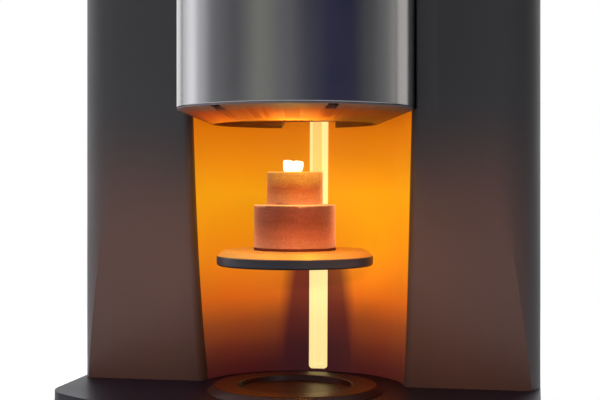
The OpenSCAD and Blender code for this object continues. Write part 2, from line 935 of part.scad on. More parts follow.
module side_frames() {
    hole_r = 28;
    depth = frame_rear_y - bulkhead_rear_y;
    places = [for (low = [floor_h, deck_z], share = [0.25, 0.75])
        low + share * (low == floor_h ? deck_z - floor_h : bulkhead_top - deck_z)];
    color(zinc) both_sides() difference() {
        union() {
            block([bulkhead_w / 2 - frame_t, bulkhead_rear_y, pan_top], [bulkhead_w / 2, frame_rear_y, bulkhead_top]);
            block(
                [bulkhead_w / 2 - flange_w, frame_rear_y - frame_t, floor_h + fit],
                [bulkhead_w / 2, frame_rear_y, bulkhead_top]
            );
        }
        for (z = places, share = [0.28, 0.72])
            translate([0, bulkhead_rear_y + share * depth, z]) rotate([0, 90, 0]) cylinder(r = hole_r, h = housing_w);
        at_screws() cylinder(r = screw_r + shaft_fit, h = housing_d);
    }
}

module electronics_deck() {
    color(zinc) block(
        [frame_t - bulkhead_w / 2, bulkhead_rear_y, deck_z],
        [bulkhead_w / 2 - frame_t, fan_front_y - 5, deck_z + deck_t]
    );
}

// Lift

module lift_mast() {
    color(steel) block([-mast_w / 2, mast_front_y, mast_z], [mast_w / 2, mast_rear_y, carriage_z + carriage_h]);
}

module lift_arm() {
    color(steel) {
        block(
            [-arm_w / 2, axis_y + plate_r + running_gap, mast_z],
            [arm_w / 2, mast_front_y, mast_z + arm_h]
        );
        block(
            [-arm_w / 2, axis_y + plate_r - tongue_reach, mast_z],
            [arm_w / 2, axis_y + plate_r + 1, mast_z + tongue_h]
        );
    }
}

module loading_plate() {
    edge_r = 1.8;
    color([0.42, 0.42, 0.46]) difference() {
        translate([0, axis_y, plate_z]) rotate_extrude() {
            polygon([
                [0, 0],
                [plate_r - edge_r, 0],
                [plate_r - edge_r, edge_r],
                [plate_r, edge_r],
                [plate_r, plate_t - plate_bevel_h],
                [plate_r - plate_bevel_w, plate_t],
                [0, plate_t]
            ]);
            translate([plate_r - edge_r, edge_r]) circle(edge_r);
        }
        block(
            [-arm_w / 2 - fit, axis_y + plate_r - tongue_reach - fit, plate_z - 1],
            [arm_w / 2 + fit, axis_y + plate_r + 1, mast_z + tongue_h]
        );
    }
}

module seat_ring() {
    color(black) axis_ring(lower_block_d / 2 + 0.7, 12, plate_top, block_z);
}

module lower_block() {
    color(ceramic) axis_disc(lower_block_d / 2, block_z, upper_block_z);
}

module upper_block() {
    color(ceramic) axis_disc(upper_block_d / 2, upper_block_z, crown_z);
}

// Outline of the crown from its base to the middle of its top, as (share of half width, share of height)
crown_profile = [[0.72, 0], [0.84, 0.14], [0.95, 0.34], [1, 0.56], [0.97, 0.74], [0.86, 0.88], [0.68, 0.95], [0.42, 0.84]];
crown_middle = 0.76;
crown_depth_share = 0.86;
cusp_height = 0.1;
crown_steps = 32;

function crown_point(share, angle, height) =
    let (
        lift = height > 0.7 ? cusp_height * (-cos(4 * angle)) : 0,
        square_up = 1 + 0.05 * (-cos(4 * angle))
    )
    [
        crown_w / 2 * share * square_up * cos(angle),
        crown_w / 2 * crown_depth_share * share * square_up * sin(angle),
        crown_h * (height + lift)
    ];

module sample_crown() {
    rings = len(crown_profile);
    points = concat(
        [for (p = crown_profile, k = [0 : crown_steps - 1]) crown_point(p[0], 360 * k / crown_steps, p[1])],
        [[0, 0, 0], [0, 0, crown_h * crown_middle]]
    );
    walls = [
        for (i = [0 : rings - 2], k = [0 : crown_steps - 1])
            let (a = i * crown_steps + k, b = i * crown_steps + (k + 1) % crown_steps)
            each [[a, b + crown_steps, b], [a, a + crown_steps, b + crown_steps]]
    ];
    low = rings * crown_steps;
    top = (rings - 1) * crown_steps;
    base = [for (k = [0 : crown_steps - 1]) [low, k, (k + 1) % crown_steps]];
    table = [for (k = [0 : crown_steps - 1]) [low + 1, top + (k + 1) % crown_steps, top + k]];
    color("white") translate([0, axis_y, crown_z]) polyhedron(points, concat(walls, base, table));
}

// Upright bores for the two guide rods
module rod_bores(r) {
    both_sides() translate([rod_spacing / 2, lift_y, 0]) cylinder(r = r, h = housing_h);
}

module lift_carriage() {
    clamp_w = 20;
    color([0.75, 0.76, 0.78]) difference() {
        union() {
            block(
                [-carriage_w / 2, carriage_front_y, carriage_z],
                [carriage_w / 2, carriage_rear_y, carriage_z + carriage_h]
            );
            block([-clamp_w / 2, mast_rear_y, carriage_z], [clamp_w / 2, carriage_front_y + 1, carriage_z + carriage_h]);
        }
        rod_bores(bushing_r);
        translate([0, lift_y, 0]) cylinder(r = nut_r, h = housing_h);
    }
}

module guide_bushings() {
    color([0.75, 0.6, 0.25]) both_sides() translate([rod_spacing / 2, lift_y, carriage_z]) difference() {
        cylinder(r = bushing_r, h = carriage_h);
        translate([0, 0, -1]) cylinder(r = rod_d / 2 + shaft_fit, h = carriage_h + 2);
    }
}

module lift_nut() {
    color([0.75, 0.6, 0.25]) translate([0, lift_y, carriage_z]) difference() {
        union() {
            cylinder(r = nut_r, h = carriage_h);
            translate([0, 0, carriage_h]) intersection() {
                cylinder(r = nut_flange_r, h = nut_flange_t);
                translate([0, 0, nut_flange_t / 2])
                    cube([3 * nut_flange_r, 2 * (carriage_rear_y - lift_y) - 2, nut_flange_t], center = true);
            }
        }
        translate([0, 0, -1]) cylinder(r = screw_d / 2 + shaft_fit, h = carriage_h + nut_flange_t + 2);
    }
}

module guide_rods() {
    color(steel) intersection() {
        rod_bores(rod_d / 2);
        block([-housing_w, -housing_d, lower_bearing_z], [housing_w, housing_d, upper_bearing_top]);
    }
}

// Block that holds the rods and a journal of the lead screw
module bearing_block(from_z) {
    color([0.6, 0.61, 0.63]) difference() {
        block([-carriage_w / 2, carriage_front_y, from_z], [carriage_w / 2, bulkhead_y, from_z + block_h]);
        rod_bores(rod_d / 2);
        translate([0, lift_y, 0]) cylinder(r = journal_r + shaft_fit, h = housing_h);
    }
}

module lower_bearing_block() {
    bearing_block(lower_bearing_z);
}

module upper_bearing_block() {
    bearing_block(upper_bearing_z);
}

module motor_bracket() {
    half_w = motor_w / 2 + 4;
    bottom = motor_z - motor_bracket_t;
    color(zinc) difference() {
        union() {
            block([-half_w, motor_y - motor_w / 2, bottom], [half_w, bulkhead_y, motor_z]);
            block([-half_w, bulkhead_y - motor_bracket_t, upper_bearing_top], [half_w, bulkhead_y, motor_z]);
        }
        translate([0, lift_y, 0]) cylinder(r = 11.5, h = housing_h);
    }
}

module stepper_motor() {
    chamfer = 5;
    front = lift_y - motor_w / 2;
    rear = min(lift_y + motor_w / 2, bulkhead_y);
    half_w = motor_w / 2;
    color(black) translate([0, 0, motor_z]) difference() {
        linear_extrude(motor_h) polygon([
            [-half_w + chamfer, front],
            [half_w - chamfer, front],
            [half_w, front + chamfer],
            [half_w, rear],
            [-half_w, rear],
            [-half_w, front + chamfer]
        ]);
        translate([0, lift_y, -1]) cylinder(r = motor_shaft_r + shaft_fit, h = 13);
    }
}

module lead_screw() {
    thread_depth = 0.6;
    groove_pitch = 8;
    low = lower_bearing_z + 1;
    high = coupling_z + coupling_h / 2 - 0.5;
    body_low = lower_bearing_z + block_h + running_gap;
    body_high = upper_bearing_z - running_gap;
    grooves = floor((body_high - body_low - 2) / groove_pitch);
    color(steel) translate([0, lift_y, 0]) {
        translate([0, 0, low]) cylinder(r = journal_r, h = high - low);
        difference() {
            translate([0, 0, body_low]) cylinder(r = screw_d / 2, h = body_high - body_low);
            for (i = [0 : grooves - 1])
                translate([0, 0, body_low + 2 + i * groove_pitch]) difference() {
                    cylinder(r = screw_d, h = 2);
                    translate([0, 0, -1]) cylinder(r = screw_d / 2 - thread_depth, h = 4);
                }
        }
        translate([0, 0, coupling_z + coupling_h / 2 + 0.5])
            cylinder(r = motor_shaft_r, h = motor_z + 11 - coupling_z - coupling_h / 2);
    }
}

module shaft_coupling() {
    color([0.78, 0.79, 0.8]) translate([0, lift_y, coupling_z]) difference() {
        cylinder(r = coupling_r, h = coupling_h);
        translate([0, 0, -1]) cylinder(r = journal_r, h = coupling_h / 2 + 1);
        translate([0, 0, coupling_h / 2 - 1]) cylinder(r = motor_shaft_r, h = coupling_h);
        for (z = [6, 13]) translate([0, 0, z]) difference() {
            cylinder(r = coupling_r + 1, h = 1);
            translate([0, 0, -1]) cylinder(r = coupling_r - 3, h = 3);
        }
    }
}

// Electronics

module power_supply() {
    left = frame_t + 8 - bulkhead_w / 2;
    front = frame_rear_y - flange_w - supply_l;
    top = pan_top + supply_h;
    slot_w = 7;
    slot_pitch = 20;
    edge = 12;
    slots = floor((supply_l - 2 * edge - slot_w) / slot_pitch) + 1;
    color(zinc) difference() {
        block([left, front, pan_top], [left + supply_w, front + supply_l, top]);
        for (i = [0 : slots - 1])
            block(
                [left + edge, front + edge + i * slot_pitch, top - 2],
                [left + supply_w - edge, front + edge + slot_w + i * slot_pitch, top + 1]
            );
    }
}

module generator_heat_sink() {
    left = 14;
    sink_l = 130;
    front = (bulkhead_rear_y + fan_front_y - sink_l) / 2;
    base_t = 6;
    fin_t = 2;
    step = (sink_w - fin_t) / (sink_fins - 1);
    color([0.7, 0.71, 0.73]) translate([left, front, deck_z + deck_t]) {
        cube([sink_w, sink_l, base_t]);
        for (i = [0 : sink_fins - 1]) translate([i * step, 0, 0]) cube([fin_t, sink_l, sink_h]);
    }
}

module generator_board() {
    left = frame_t + 10 - bulkhead_w / 2;
    post_h = 8;
    board_z = deck_z + deck_t + post_h;
    board_w = 110;
    board_l = 140;
    front = (bulkhead_rear_y + fan_front_y - board_l) / 2;
    post_inset = 6;
    cap_r = 12;
    cap_h = 32;
    cap_pitch = 30;
    choke = [40, 45, 25];
    bridge = [30, 30, 18];
    sunk = 0.5;
    color(board_green) translate([left, front, 0]) {
        translate([0, 0, board_z]) cube([board_w, board_l, board_t]);
        for (x = [post_inset, board_w - post_inset], y = [post_inset, board_l - post_inset])
            translate([x, y, deck_z + deck_t]) cylinder(r = 3, h = post_h + sunk);
        translate([0, 0, board_z + board_t - sunk]) {
            for (i = [0 : 3]) translate([22, 24 + cap_pitch * i, 0]) cylinder(r = cap_r, h = cap_h);
            translate([board_w - choke[0] - 20, 20, 0]) cube(choke);
            translate([board_w - bridge[0] - 25, 80, 0]) cube(bridge);
        }
    }
}

// Rear fan and power entry

// Frame of the fan: z points back from the front of the fan
module on_fan() {
    translate([0, fan_front_y, fan_z]) rotate([-90, 0, 0]) children();
}

module rear_fan_frame() {
    strut_t = 3;
    color(black) on_fan() {
        difference() {
            translate([-fan_w / 2, -fan_w / 2, 0]) cube([fan_w, fan_w, fan_t]);
            translate([0, 0, -1]) cylinder(r = fan_bore_r, h = fan_t + 2);
            for (x = [-1, 1], y = [-1, 1])
                translate([x * (fan_w / 2 - 7), y * (fan_w / 2 - 7), -1]) cylinder(r = 2.2, h = fan_t + 2);
        }
        cylinder(r = fan_hub_r, h = strut_t);
        cylinder(r = fan_shaft_r, h = fan_t - 6);
        for (a = [45 : 90 : 315]) rotate(a) translate([0, -2, 0]) cube([fan_bore_r + 2, 4, strut_t]);
    }
}

module rear_fan_rotor() {
    base = 3.6;
    hub_h = fan_t - 6;
    chord = 20;
    blade_t = 1.4;
    tip_r = fan_bore_r - 1.5;
    color([0.15, 0.15, 0.16]) on_fan() difference() {
        union() {
            translate([0, 0, base]) cylinder(r = fan_hub_r, h = hub_h);
            intersection() {
                translate([0, 0, base]) cylinder(r = tip_r, h = hub_h);
                for (i = [0 : fan_blades - 1]) rotate(360 * i / fan_blades)
                    translate([fan_hub_r - 3, 0, base + hub_h / 2]) rotate([38, 0, 0])
                        translate([0, -chord / 2, -blade_t / 2]) cube([tip_r, chord, blade_t]);
            }
        }
        translate([0, 0, -1]) cylinder(r = fan_shaft_r + shaft_fit, h = fan_t - 4.7);
    }
}

module fan_grille() {
    wire = 2;
    ring_t = 2.4;
    spoke_t = 2;
    tab_r = 4.5;
    color(steel) translate([0, rear_cover_y, fan_z]) rotate([-90, 0, 0]) {
        for (r = [14 : 11 : fan_bore_r]) difference() {
            cylinder(r = r + wire / 2, h = ring_t);
            translate([0, 0, -1]) cylinder(r = r - wire / 2, h = ring_t + 2);
        }
        for (a = [45, 135]) rotate(a)
            translate([-fan_bore_r - 6, -wire / 2, 0]) cube([2 * fan_bore_r + 12, wire, spoke_t]);
        for (a = [45 : 90 : 315]) rotate(a) translate([fan_bore_r + 6, 0, 0]) cylinder(r = tab_r, h = spoke_t + 0.2);
        cylinder(r = 5, h = ring_t);
    }
}

// Outline of the inlet socket, with its two upper corners cut
module inlet_outline() {
    cut = 4.5;
    polygon([
        [-inlet_w / 2, -inlet_h / 2],
        [inlet_w / 2, -inlet_h / 2],
        [inlet_w / 2, inlet_h / 2 - cut],
        [inlet_w / 2 - cut, inlet_h / 2],
        [cut - inlet_w / 2, inlet_h / 2],
        [-inlet_w / 2, inlet_h / 2 - cut]
    ]);
}

module power_entry() {
    pocket_back = entry_face_y - drawer_l;
    pin_l = inlet_depth - 3;
    color(black) {
        difference() {
            union() {
                block(
                    [entry_x - entry_w / 2, rear_cover_y - entry_d, entry_z - entry_h / 2],
                    [entry_x + entry_w / 2, rear_cover_y + 1, entry_z + entry_h / 2]
                );
                block(
                    [entry_x - entry_w / 2 - entry_flange, rear_cover_y, entry_z - entry_h / 2 - entry_flange],
                    [entry_x + entry_w / 2 + entry_flange, entry_face_y, entry_z + entry_h / 2 + entry_flange]
                );
            }
            translate([inlet_x, 0, inlet_z]) along_y(entry_face_y - inlet_depth, entry_face_y + 1) inlet_outline();
            block(
                [inlet_x - drawer_w / 2 - running_gap, pocket_back, drawer_z - drawer_h / 2 - running_gap],
                [inlet_x + drawer_w / 2 + running_gap, entry_face_y + 1, drawer_z + drawer_h / 2 + running_gap]
            );
            block(
                [rocker_x - rocker_w / 2 - running_gap, rocker_y - 8, entry_z - rocker_l / 2 - 1],
                [rocker_x + rocker_w / 2 + running_gap, entry_face_y + 1, entry_z + rocker_l / 2 + 1]
            );
            translate([rocker_x - rocker_w / 2 - 1.5, rocker_y, entry_z]) rotate([0, 90, 0])
                cylinder(r = 1.5 + shaft_fit, h = rocker_w + 3);
        }
        for (x = [-7, 0, 7])
            translate([inlet_x + x - 1, entry_face_y - inlet_depth - 1, inlet_z + (x == 0 ? 2 : -2) - 2])
                cube([2, pin_l, 4]);
    }
}

module fuse_drawer() {
    grip_t = 1.5;
    color([0.12, 0.12, 0.13]) {
        block(
            [inlet_x - drawer_w / 2, entry_face_y - drawer_l + 0.5, drawer_z - drawer_h / 2],
            [inlet_x + drawer_w / 2, entry_face_y, drawer_z + drawer_h / 2]
        );
        block(
            [inlet_x - 5, entry_face_y - 1, drawer_z - 1],
            [inlet_x + 5, entry_face_y + grip_t, drawer_z + 1]
        );
    }
}

module mains_rocker() {
    half_l = rocker_l / 2;
    color([0.5, 0.1, 0.08]) translate([rocker_x, rocker_y, entry_z]) rotate([rocker_tilt, 0, 0]) {
        along_x(rocker_w) polygon([
            [-5, -5],
            [2, -half_l],
            [4.6, -half_l],
            [3.4, 0],
            [4.6, half_l],
            [2, half_l],
            [-5, 5]
        ]);
        rotate([0, 90, 0]) cylinder(r = 1.5, h = rocker_w + 2, center = true);
    }
}

rubber_feet();
base_pan();
plinth_cover();
landing_ring();
left_wing();
right_wing();
hood();
rear_cover();
cover_screws();
wall_buffers();
niche_liner();
light_guide();
led_board();
niche_lamps();
head_cover();
head_underside();
carrier_plate();
display_frame();
touch_display();
control_board();
mouth_insulation();
jacket_insulation();
lid_insulation();
susceptor();
coil_former();
induction_coil();
coil_terminals();
muffle_casing();
pyrometer();
bulkhead();
side_frames();
electronics_deck();
lift_mast();
lift_arm();
loading_plate();
seat_ring();
lower_block();
upper_block();
sample_crown();
lift_carriage();
guide_bushings();
lift_nut();
guide_rods();
lower_bearing_block();
upper_bearing_block();
motor_bracket();
stepper_motor();
lead_screw();
shaft_coupling();
power_supply();
generator_heat_sink();
generator_board();
rear_fan_frame();
rear_fan_rotor();
fan_grille();
power_entry();
mains_rocker();
fuse_drawer();
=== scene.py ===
import math

import bmesh
import bpy
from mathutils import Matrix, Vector


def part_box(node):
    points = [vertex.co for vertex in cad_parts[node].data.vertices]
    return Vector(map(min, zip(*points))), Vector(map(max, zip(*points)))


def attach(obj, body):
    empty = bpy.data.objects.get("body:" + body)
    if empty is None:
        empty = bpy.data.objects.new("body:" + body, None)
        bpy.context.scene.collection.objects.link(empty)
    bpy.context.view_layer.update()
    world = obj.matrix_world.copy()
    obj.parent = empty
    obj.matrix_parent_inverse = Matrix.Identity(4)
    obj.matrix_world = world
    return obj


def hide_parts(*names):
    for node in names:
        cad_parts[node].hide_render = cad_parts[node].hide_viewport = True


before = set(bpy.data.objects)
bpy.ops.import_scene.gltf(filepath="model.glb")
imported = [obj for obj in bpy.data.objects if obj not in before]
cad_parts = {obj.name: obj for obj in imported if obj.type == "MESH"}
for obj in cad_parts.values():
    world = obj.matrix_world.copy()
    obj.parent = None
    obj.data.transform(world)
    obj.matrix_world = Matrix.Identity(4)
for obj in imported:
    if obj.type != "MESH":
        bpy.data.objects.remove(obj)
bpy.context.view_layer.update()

MM = 0.001
WHITE = (1, 1, 1)
# Points closer than this, in millimetres, become one
SAME_POINT = 1e-4
# Edges that turn by less than this, in degrees, look smooth
SHARP = 35

# Places of the furnace, in millimetres
AXIS_Y = -137
FLOOR_Z = 64
HEAD_Z = 239.1
NOSE_R = 73.2
NICHE_Y = -120
NICHE_FLOOR_R = 66.4
NICHE_TOP_R = 71
NICHE_FLARE = (NICHE_TOP_R - NICHE_FLOOR_R) / (HEAD_Z - FLOOR_Z)
FRONT_Y = -124
SEAM_Y = -71.5
SEAM_GAP = 0.2
HALF_W = 150
TOP_Z = 570
SLOPE = math.tan(math.radians(50))
NOSE_FRONT_Y = AXIS_Y - NOSE_R
NOSE_TOP_Z = TOP_Z - (SEAM_Y - NOSE_FRONT_Y) * SLOPE

# What the platform carries, from the plate up to the crown
PLATE_R = 48.6
PLATE_Z = 142
PLATE_BEVEL_Z = 147.8
PLATE_TOP_Z = 151.6
LOWER_Z = 153.1
UPPER_Z = 179.7
CROWN_Z = 200.0


# Shapes

def in_scene(name, data):
    """A new object in the scene for a mesh, lamp or camera."""
    obj = bpy.data.objects.new(name, data)
    bpy.context.scene.collection.objects.link(obj)
    return obj


def smooth_faces(bm, sharp):
    """Smooth shading between edges that are sharper than an angle in degrees."""
    for f in bm.faces:
        f.smooth = True
    for e in bm.edges:
        e.smooth = len(e.link_faces) == 2 and e.calc_face_angle() < math.radians(sharp)


def mesh_from(name, bm):
    mesh = bpy.data.meshes.new(name)
    bm.to_mesh(mesh)
    bm.free()
    return mesh


def arc_points(corner, before, after, radius, steps):
    """Points that round one corner of a flat outline."""
    to_before = (before - corner).normalized()
    to_after = (after - corner).normalized()
    half = to_before.angle(to_after) / 2
    reach = radius / math.tan(half)
    centre = corner + (to_before + to_after).normalized() * (radius / math.sin(half))
    start = corner + to_before * reach - centre
    end = corner + to_after * reach - centre
    turn = start.angle_signed(end)
    points = []
    for i in range(steps + 1):
        a = -turn * i / steps
        points.append(centre + Vector((
            start.x * math.cos(a) - start.y * math.sin(a),
            start.x * math.sin(a) + start.y * math.cos(a),
        )))
    return points


def rounded(corners, steps):
    """A closed flat outline from (a, b, radius) corners, with each corner rounded."""
    flat = [Vector(c[:2]) for c in corners]
    count = len(flat)
    points = []
    for i, corner in enumerate(corners):
        if corner[2] > 0:
            points += arc_points(flat[i], flat[i - 1], flat[(i + 1) % count], corner[2], steps)
        else:
            points.append(flat[i])
    return points


def piece_from(name, bm, material, sharp=SHARP):
    """A finished piece from a mesh in millimetres, smooth between its sharp edges."""
    bmesh.ops.remove_doubles(bm, verts=bm.verts, dist=SAME_POINT)
    bmesh.ops.recalc_face_normals(bm, faces=bm.faces)
    for v in bm.verts:
        v.co *= MM
    smooth_faces(bm, sharp)
    obj = in_scene(name, mesh_from(name, bm))
    obj.data.materials.append(material)
    return obj


def turned(name, profile, material, steps=160):
    """A body of revolution round the chamber axis from (radius, height) points."""
    bm = bmesh.new()
    rings = []
    for r, z in profile:
        if r < SAME_POINT:
            rings.append([bm.verts.new((0, AXIS_Y, z))])
            continue
        rings.append([
            bm.verts.new((
                r * math.cos(2 * math.pi * i / steps),
                AXIS_Y + r * math.sin(2 * math.pi * i / steps),
                z,
            ))
            for i in range(steps)
        ])
    pairs = list(zip(rings, rings[1:]))
    if len(rings[0]) > 1 or len(rings[-1]) > 1:
        pairs.append((rings[-1], rings[0]))
    for low, high in pairs:
        for i in range(steps):
            j = (i + 1) % steps
            face = []
            for ring, step in ((low, i), (low, j), (high, j), (high, i)):
                v = ring[step % len(ring)]
                if v not in face:
                    face.append(v)
            if len(face) > 2:
                bm.faces.new(face)
    return piece_from(name, bm, material)


def sheet_from(name, rows, material, thickness, sharp):
    """A shell whose outer face runs through rows of points; the wall grows inward."""
    bm = bmesh.new()
    grid = [[bm.verts.new(p) for p in row] for row in rows]
    for low, high in zip(grid, grid[1:]):
        for i in range(len(low) - 1):
            bm.faces.new((low[i], low[i + 1], high[i + 1], high[i]))
    bm.normal_update()
    obj = piece_from(name, bm, material, sharp)
    wall = obj.modifiers.new("wall", "SOLIDIFY")
    wall.thickness = thickness * MM
    wall.offset = -1
    wall.use_even_offset = False
    return obj


def dressed(node, material, edge, sharp=30):
    """A copy of a CAD node with merged faces, smooth curves and softened edges."""
    merge = 2e-6
    flat_angle = math.radians(0.4)
    bm = bmesh.new()
    bm.from_mesh(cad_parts[node].data)
    bmesh.ops.remove_doubles(bm, verts=bm.verts, dist=merge)
    bmesh.ops.dissolve_degenerate(bm, edges=bm.edges, dist=merge)
    bmesh.ops.dissolve_limit(
        bm, angle_limit=flat_angle, verts=bm.verts, edges=bm.edges, delimit={"NORMAL"})
    smooth_faces(bm, sharp)
    name = node + "_dressed"
    obj = in_scene(name, mesh_from(name, bm))
    obj.data.materials.append(material)
    soft = obj.modifiers.new("soft_edges", "BEVEL")
    soft.width = edge * MM
    soft.segments = 2
    soft.limit_method = "ANGLE"
    soft.angle_limit = math.radians(sharp)
    soft.use_clamp_overlap = True
    soft.harden_normals = False
    soft.miter_outer = "MITER_ARC"
    flat = obj.modifiers.new("flat_faces", "WEIGHTED_NORMAL")
    flat.keep_sharp = True
    return obj


def place(obj, body, node):
    """The piece moves with a body and stands for a CAD node, which it hides."""
    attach(obj, body)
    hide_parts(node)


# Node trees

def feed(tree, value, socket):
    """Links a node's output to a socket, or sets a plain value on it."""
    if hasattr(value, "is_output"):
        tree.links.new(value, socket)
    else:
        socket.default_value = value


def math_node(tree, operation, *values):
    node = tree.nodes.new("ShaderNodeMath")
    node.operation = operation
    for socket, value in zip(node.inputs, values):
        feed(tree, value, socket)
    return node.outputs[0]


def colour_ramp(tree, value, stops, interpolation="LINEAR"):
    """Colours along a value, from (position, colour) stops."""
    node = tree.nodes.new("ShaderNodeValToRGB")
    ramp = node.color_ramp
    ramp.interpolation = interpolation
    while len(ramp.elements) < len(stops):
        ramp.elements.new(0.5)
    for element, (position, colour) in zip(ramp.elements, stops):
        element.position = position
        element.color = (*colour, 1)
    tree.links.new(value, node.inputs["Fac"])
    return node.outputs["Color"]


def colour_mix(tree, share, a, b, mode="MIX"):
    """Colour a turns to colour b as the share goes from 0 to 1."""
    node = tree.nodes.new("ShaderNodeMix")
    node.data_type = "RGBA"
    node.blend_type = mode
    feed(tree, share, node.inputs[0])
    for value, socket in ((a, node.inputs[6]), (b, node.inputs[7])):
        feed(tree, value if hasattr(value, "is_output") else (*value, 1), socket)
    return node.outputs[2]


def length_of(tree, vector):
    node = tree.nodes.new("ShaderNodeVectorMath")
    node.operation = "LENGTH"
    tree.links.new(vector, node.inputs[0])
    return node.outputs["Value"]


class Tree:
    """A Geometry Nodes tree that is put together step by step."""

    def __init__(self, name, sizes):
        self.group = bpy.data.node_groups.new(name, "GeometryNodeTree")
        face = self.group.interface
        face.new_socket("Geometry", in_out="INPUT", socket_type="NodeSocketGeometry")
        face.new_socket("Geometry", in_out="OUTPUT", socket_type="NodeSocketGeometry")
        self.sockets = {}
        for label, value in sizes.items():
            kind = "NodeSocketInt" if isinstance(value, int) else "NodeSocketFloat"
            self.sockets[label] = face.new_socket(label, in_out="INPUT", socket_type=kind)
            self.sockets[label].default_value = value
        self.sizes = sizes
        self.start = self.group.nodes.new("NodeGroupInput")
        self.end = self.group.nodes.new("NodeGroupOutput")

    def size(self, label):
        return self.start.outputs[label]

    def node(self, kind, inputs, **settings):
        """A node's first output, with its inputs fed by name or number."""
        made = self.group.nodes.new("GeometryNode" + kind)
        for name, value in settings.items():
            setattr(made, name, value)
        for key, value in inputs.items():
            feed(self.group, value, made.inputs[key])
        return made.outputs[0]

    def moved(self, geometry, shift=(0, 0, 0), turn=(0, 0, 0)):
        return self.node("Transform", {
            "Geometry": geometry, "Translation": shift, "Rotation": turn})

    def cylinder(self, sides, radius, depth):
        return self.node("MeshCylinder", {"Vertices": sides, "Radius": radius, "Depth": depth})

    def joined(self, *parts):
        join = self.group.nodes.new("GeometryNodeJoinGeometry")
        for part in parts:
            self.group.links.new(part, join.inputs[0])
        return join.outputs[0]

    def finish(self, geometry, material):
        real = self.node("RealizeInstances", {0: geometry})
        done = self.node("SetMaterial", {"Geometry": real, "Material": material})
        self.group.links.new(done, self.end.inputs[0])

    def grow(self, name, mesh):
        """Runs the tree on a mesh and keeps the result as a plain piece."""
        seed = in_scene(name + "_seed", mesh)
        nodes = seed.modifiers.new("nodes", "NODES")
        nodes.node_group = self.group
        for label, value in self.sizes.items():
            nodes[self.sockets[label].identifier] = value
        graph = bpy.context.evaluated_depsgraph_get()
        grown = bpy.data.meshes.new_from_object(seed.evaluated_get(graph), depsgraph=graph)
        bpy.data.objects.remove(seed)
        bm = bmesh.new()
        bm.from_mesh(grown)
        bmesh.ops.remove_doubles(bm, verts=bm.verts, dist=SAME_POINT * MM)
        bmesh.ops.recalc_face_normals(bm, faces=bm.faces)
        smooth_faces(bm, SHARP)
        bm.to_mesh(grown)
        bm.free()
        grown.name = name
        return in_scene(name, grown)


def mesh_of(name, points, edges=()):
    """Points and edges, given in millimetres, for a tree to start from."""
    mesh = bpy.data.meshes.new(name)
    mesh.from_pydata([[c * MM for c in p] for p in points], edges, [])
    return mesh


# Finishes: places in them are in metres, as Object coordinates are, and the sizes of
# grain, cells and relief in millimetres

class Finish:
    """Node material that is put together step by step."""

    def __init__(self, name, colour, metallic=0.0, roughness=0.5):
        self.material = bpy.data.materials.new(name)
        self.material.use_nodes = True
        self.tree = self.material.node_tree
        self.shader = self.tree.nodes["Principled BSDF"]
        self.coordinates = self.node("ShaderNodeTexCoord").outputs["Object"]
        self.colour = colour
        self.set("Base Color", (*colour, 1))
        self.set("Metallic", metallic)
        self.set("Roughness", roughness)
        self.last_bump = None

    def node(self, kind, **inputs):
        """A node with its inputs fed by name, spaces as underscores."""
        made = self.tree.nodes.new(kind)
        for name, value in inputs.items():
            feed(self.tree, value, made.inputs[name.replace("_", " ")])
        return made

    def set(self, socket, value):
        self.shader.inputs[socket].default_value = value

    def join(self, output, socket):
        self.tree.links.new(output, self.shader.inputs[socket])

    def moved(self, stretch=(1, 1, 1), centre=(0, 0, 0)):
        mapping = self.node(
            "ShaderNodeMapping", Scale=stretch, Location=centre, Vector=self.coordinates)
        return mapping.outputs["Vector"]

    def grain(self, size, detail=2.0, roughness=0.5, stretch=(1, 1, 1)):
        """Soft noise with features of about a size in millimetres."""
        noise = self.node(
            "ShaderNodeTexNoise", Scale=1 / (size * MM), Detail=detail, Roughness=roughness,
            Vector=self.moved(stretch))
        return noise.outputs["Fac"]

    def cells(self, size):
        """Rounded cells of about a size in millimetres."""
        cells = self.node("ShaderNodeTexVoronoi", Scale=1 / (size * MM), Vector=self.moved())
        return cells.outputs["Distance"]

    def part(self, axis):
        return self.node("ShaderNodeSeparateXYZ", Vector=self.coordinates).outputs[axis]

    def from_axis(self):
        """Distance of a point from the chamber axis, in metres."""
        return length_of(self.tree, self.moved((1, 1, 0), (0, -AXIS_Y * MM, 0)))

    def span(self, value, low, high, to_low=0.0, to_high=1.0):
        """A value between low and high, brought between two others and held there."""
        node = self.node(
            "ShaderNodeMapRange", Value=value, From_Min=low, From_Max=high,
            To_Min=to_low, To_Max=to_high)
        return node.outputs["Result"]

    def sums(self, operation, a, b):
        return math_node(self.tree, operation, a, b)

    def ramp(self, value, stops):
        return colour_ramp(self.tree, value, stops)

    def pair(self, value, low, high):
        """Two colours that a noise mixes."""
        return self.ramp(value, [(0.3, low), (0.7, high)])

    def blend(self, share, a, b, mode="MIX"):
        return colour_mix(self.tree, share, a, b, mode)

    def shades(self, value, dark=0.9, light=1.08, low=0.3, high=0.7):
        """The finish's colour, a little darker and lighter along a value."""
        stops = [
            (low, tuple(c * dark for c in self.colour)),
            (high, tuple(min(1, c * light) for c in self.colour)),
        ]
        self.join(self.ramp(value, stops), "Base Color")

    def rough(self, value, low, high):
        self.join(self.span(value, 0.3, 0.7, low, high), "Roughness")

    def bump(self, height, depth):
        """Relief of a depth in millimetres, over any relief set before."""
        node = self.node("ShaderNodeBump", Distance=depth * MM, Height=height)
        node.inputs["Strength"].default_value = 1.0
        if self.last_bump:
            self.tree.links.new(self.last_bump, node.inputs["Normal"])
        self.last_bump = node.outputs["Normal"]
        self.join(self.last_bump, "Normal")


# Size of the flakes in the paint, in millimetres
FLAKE = 0.35


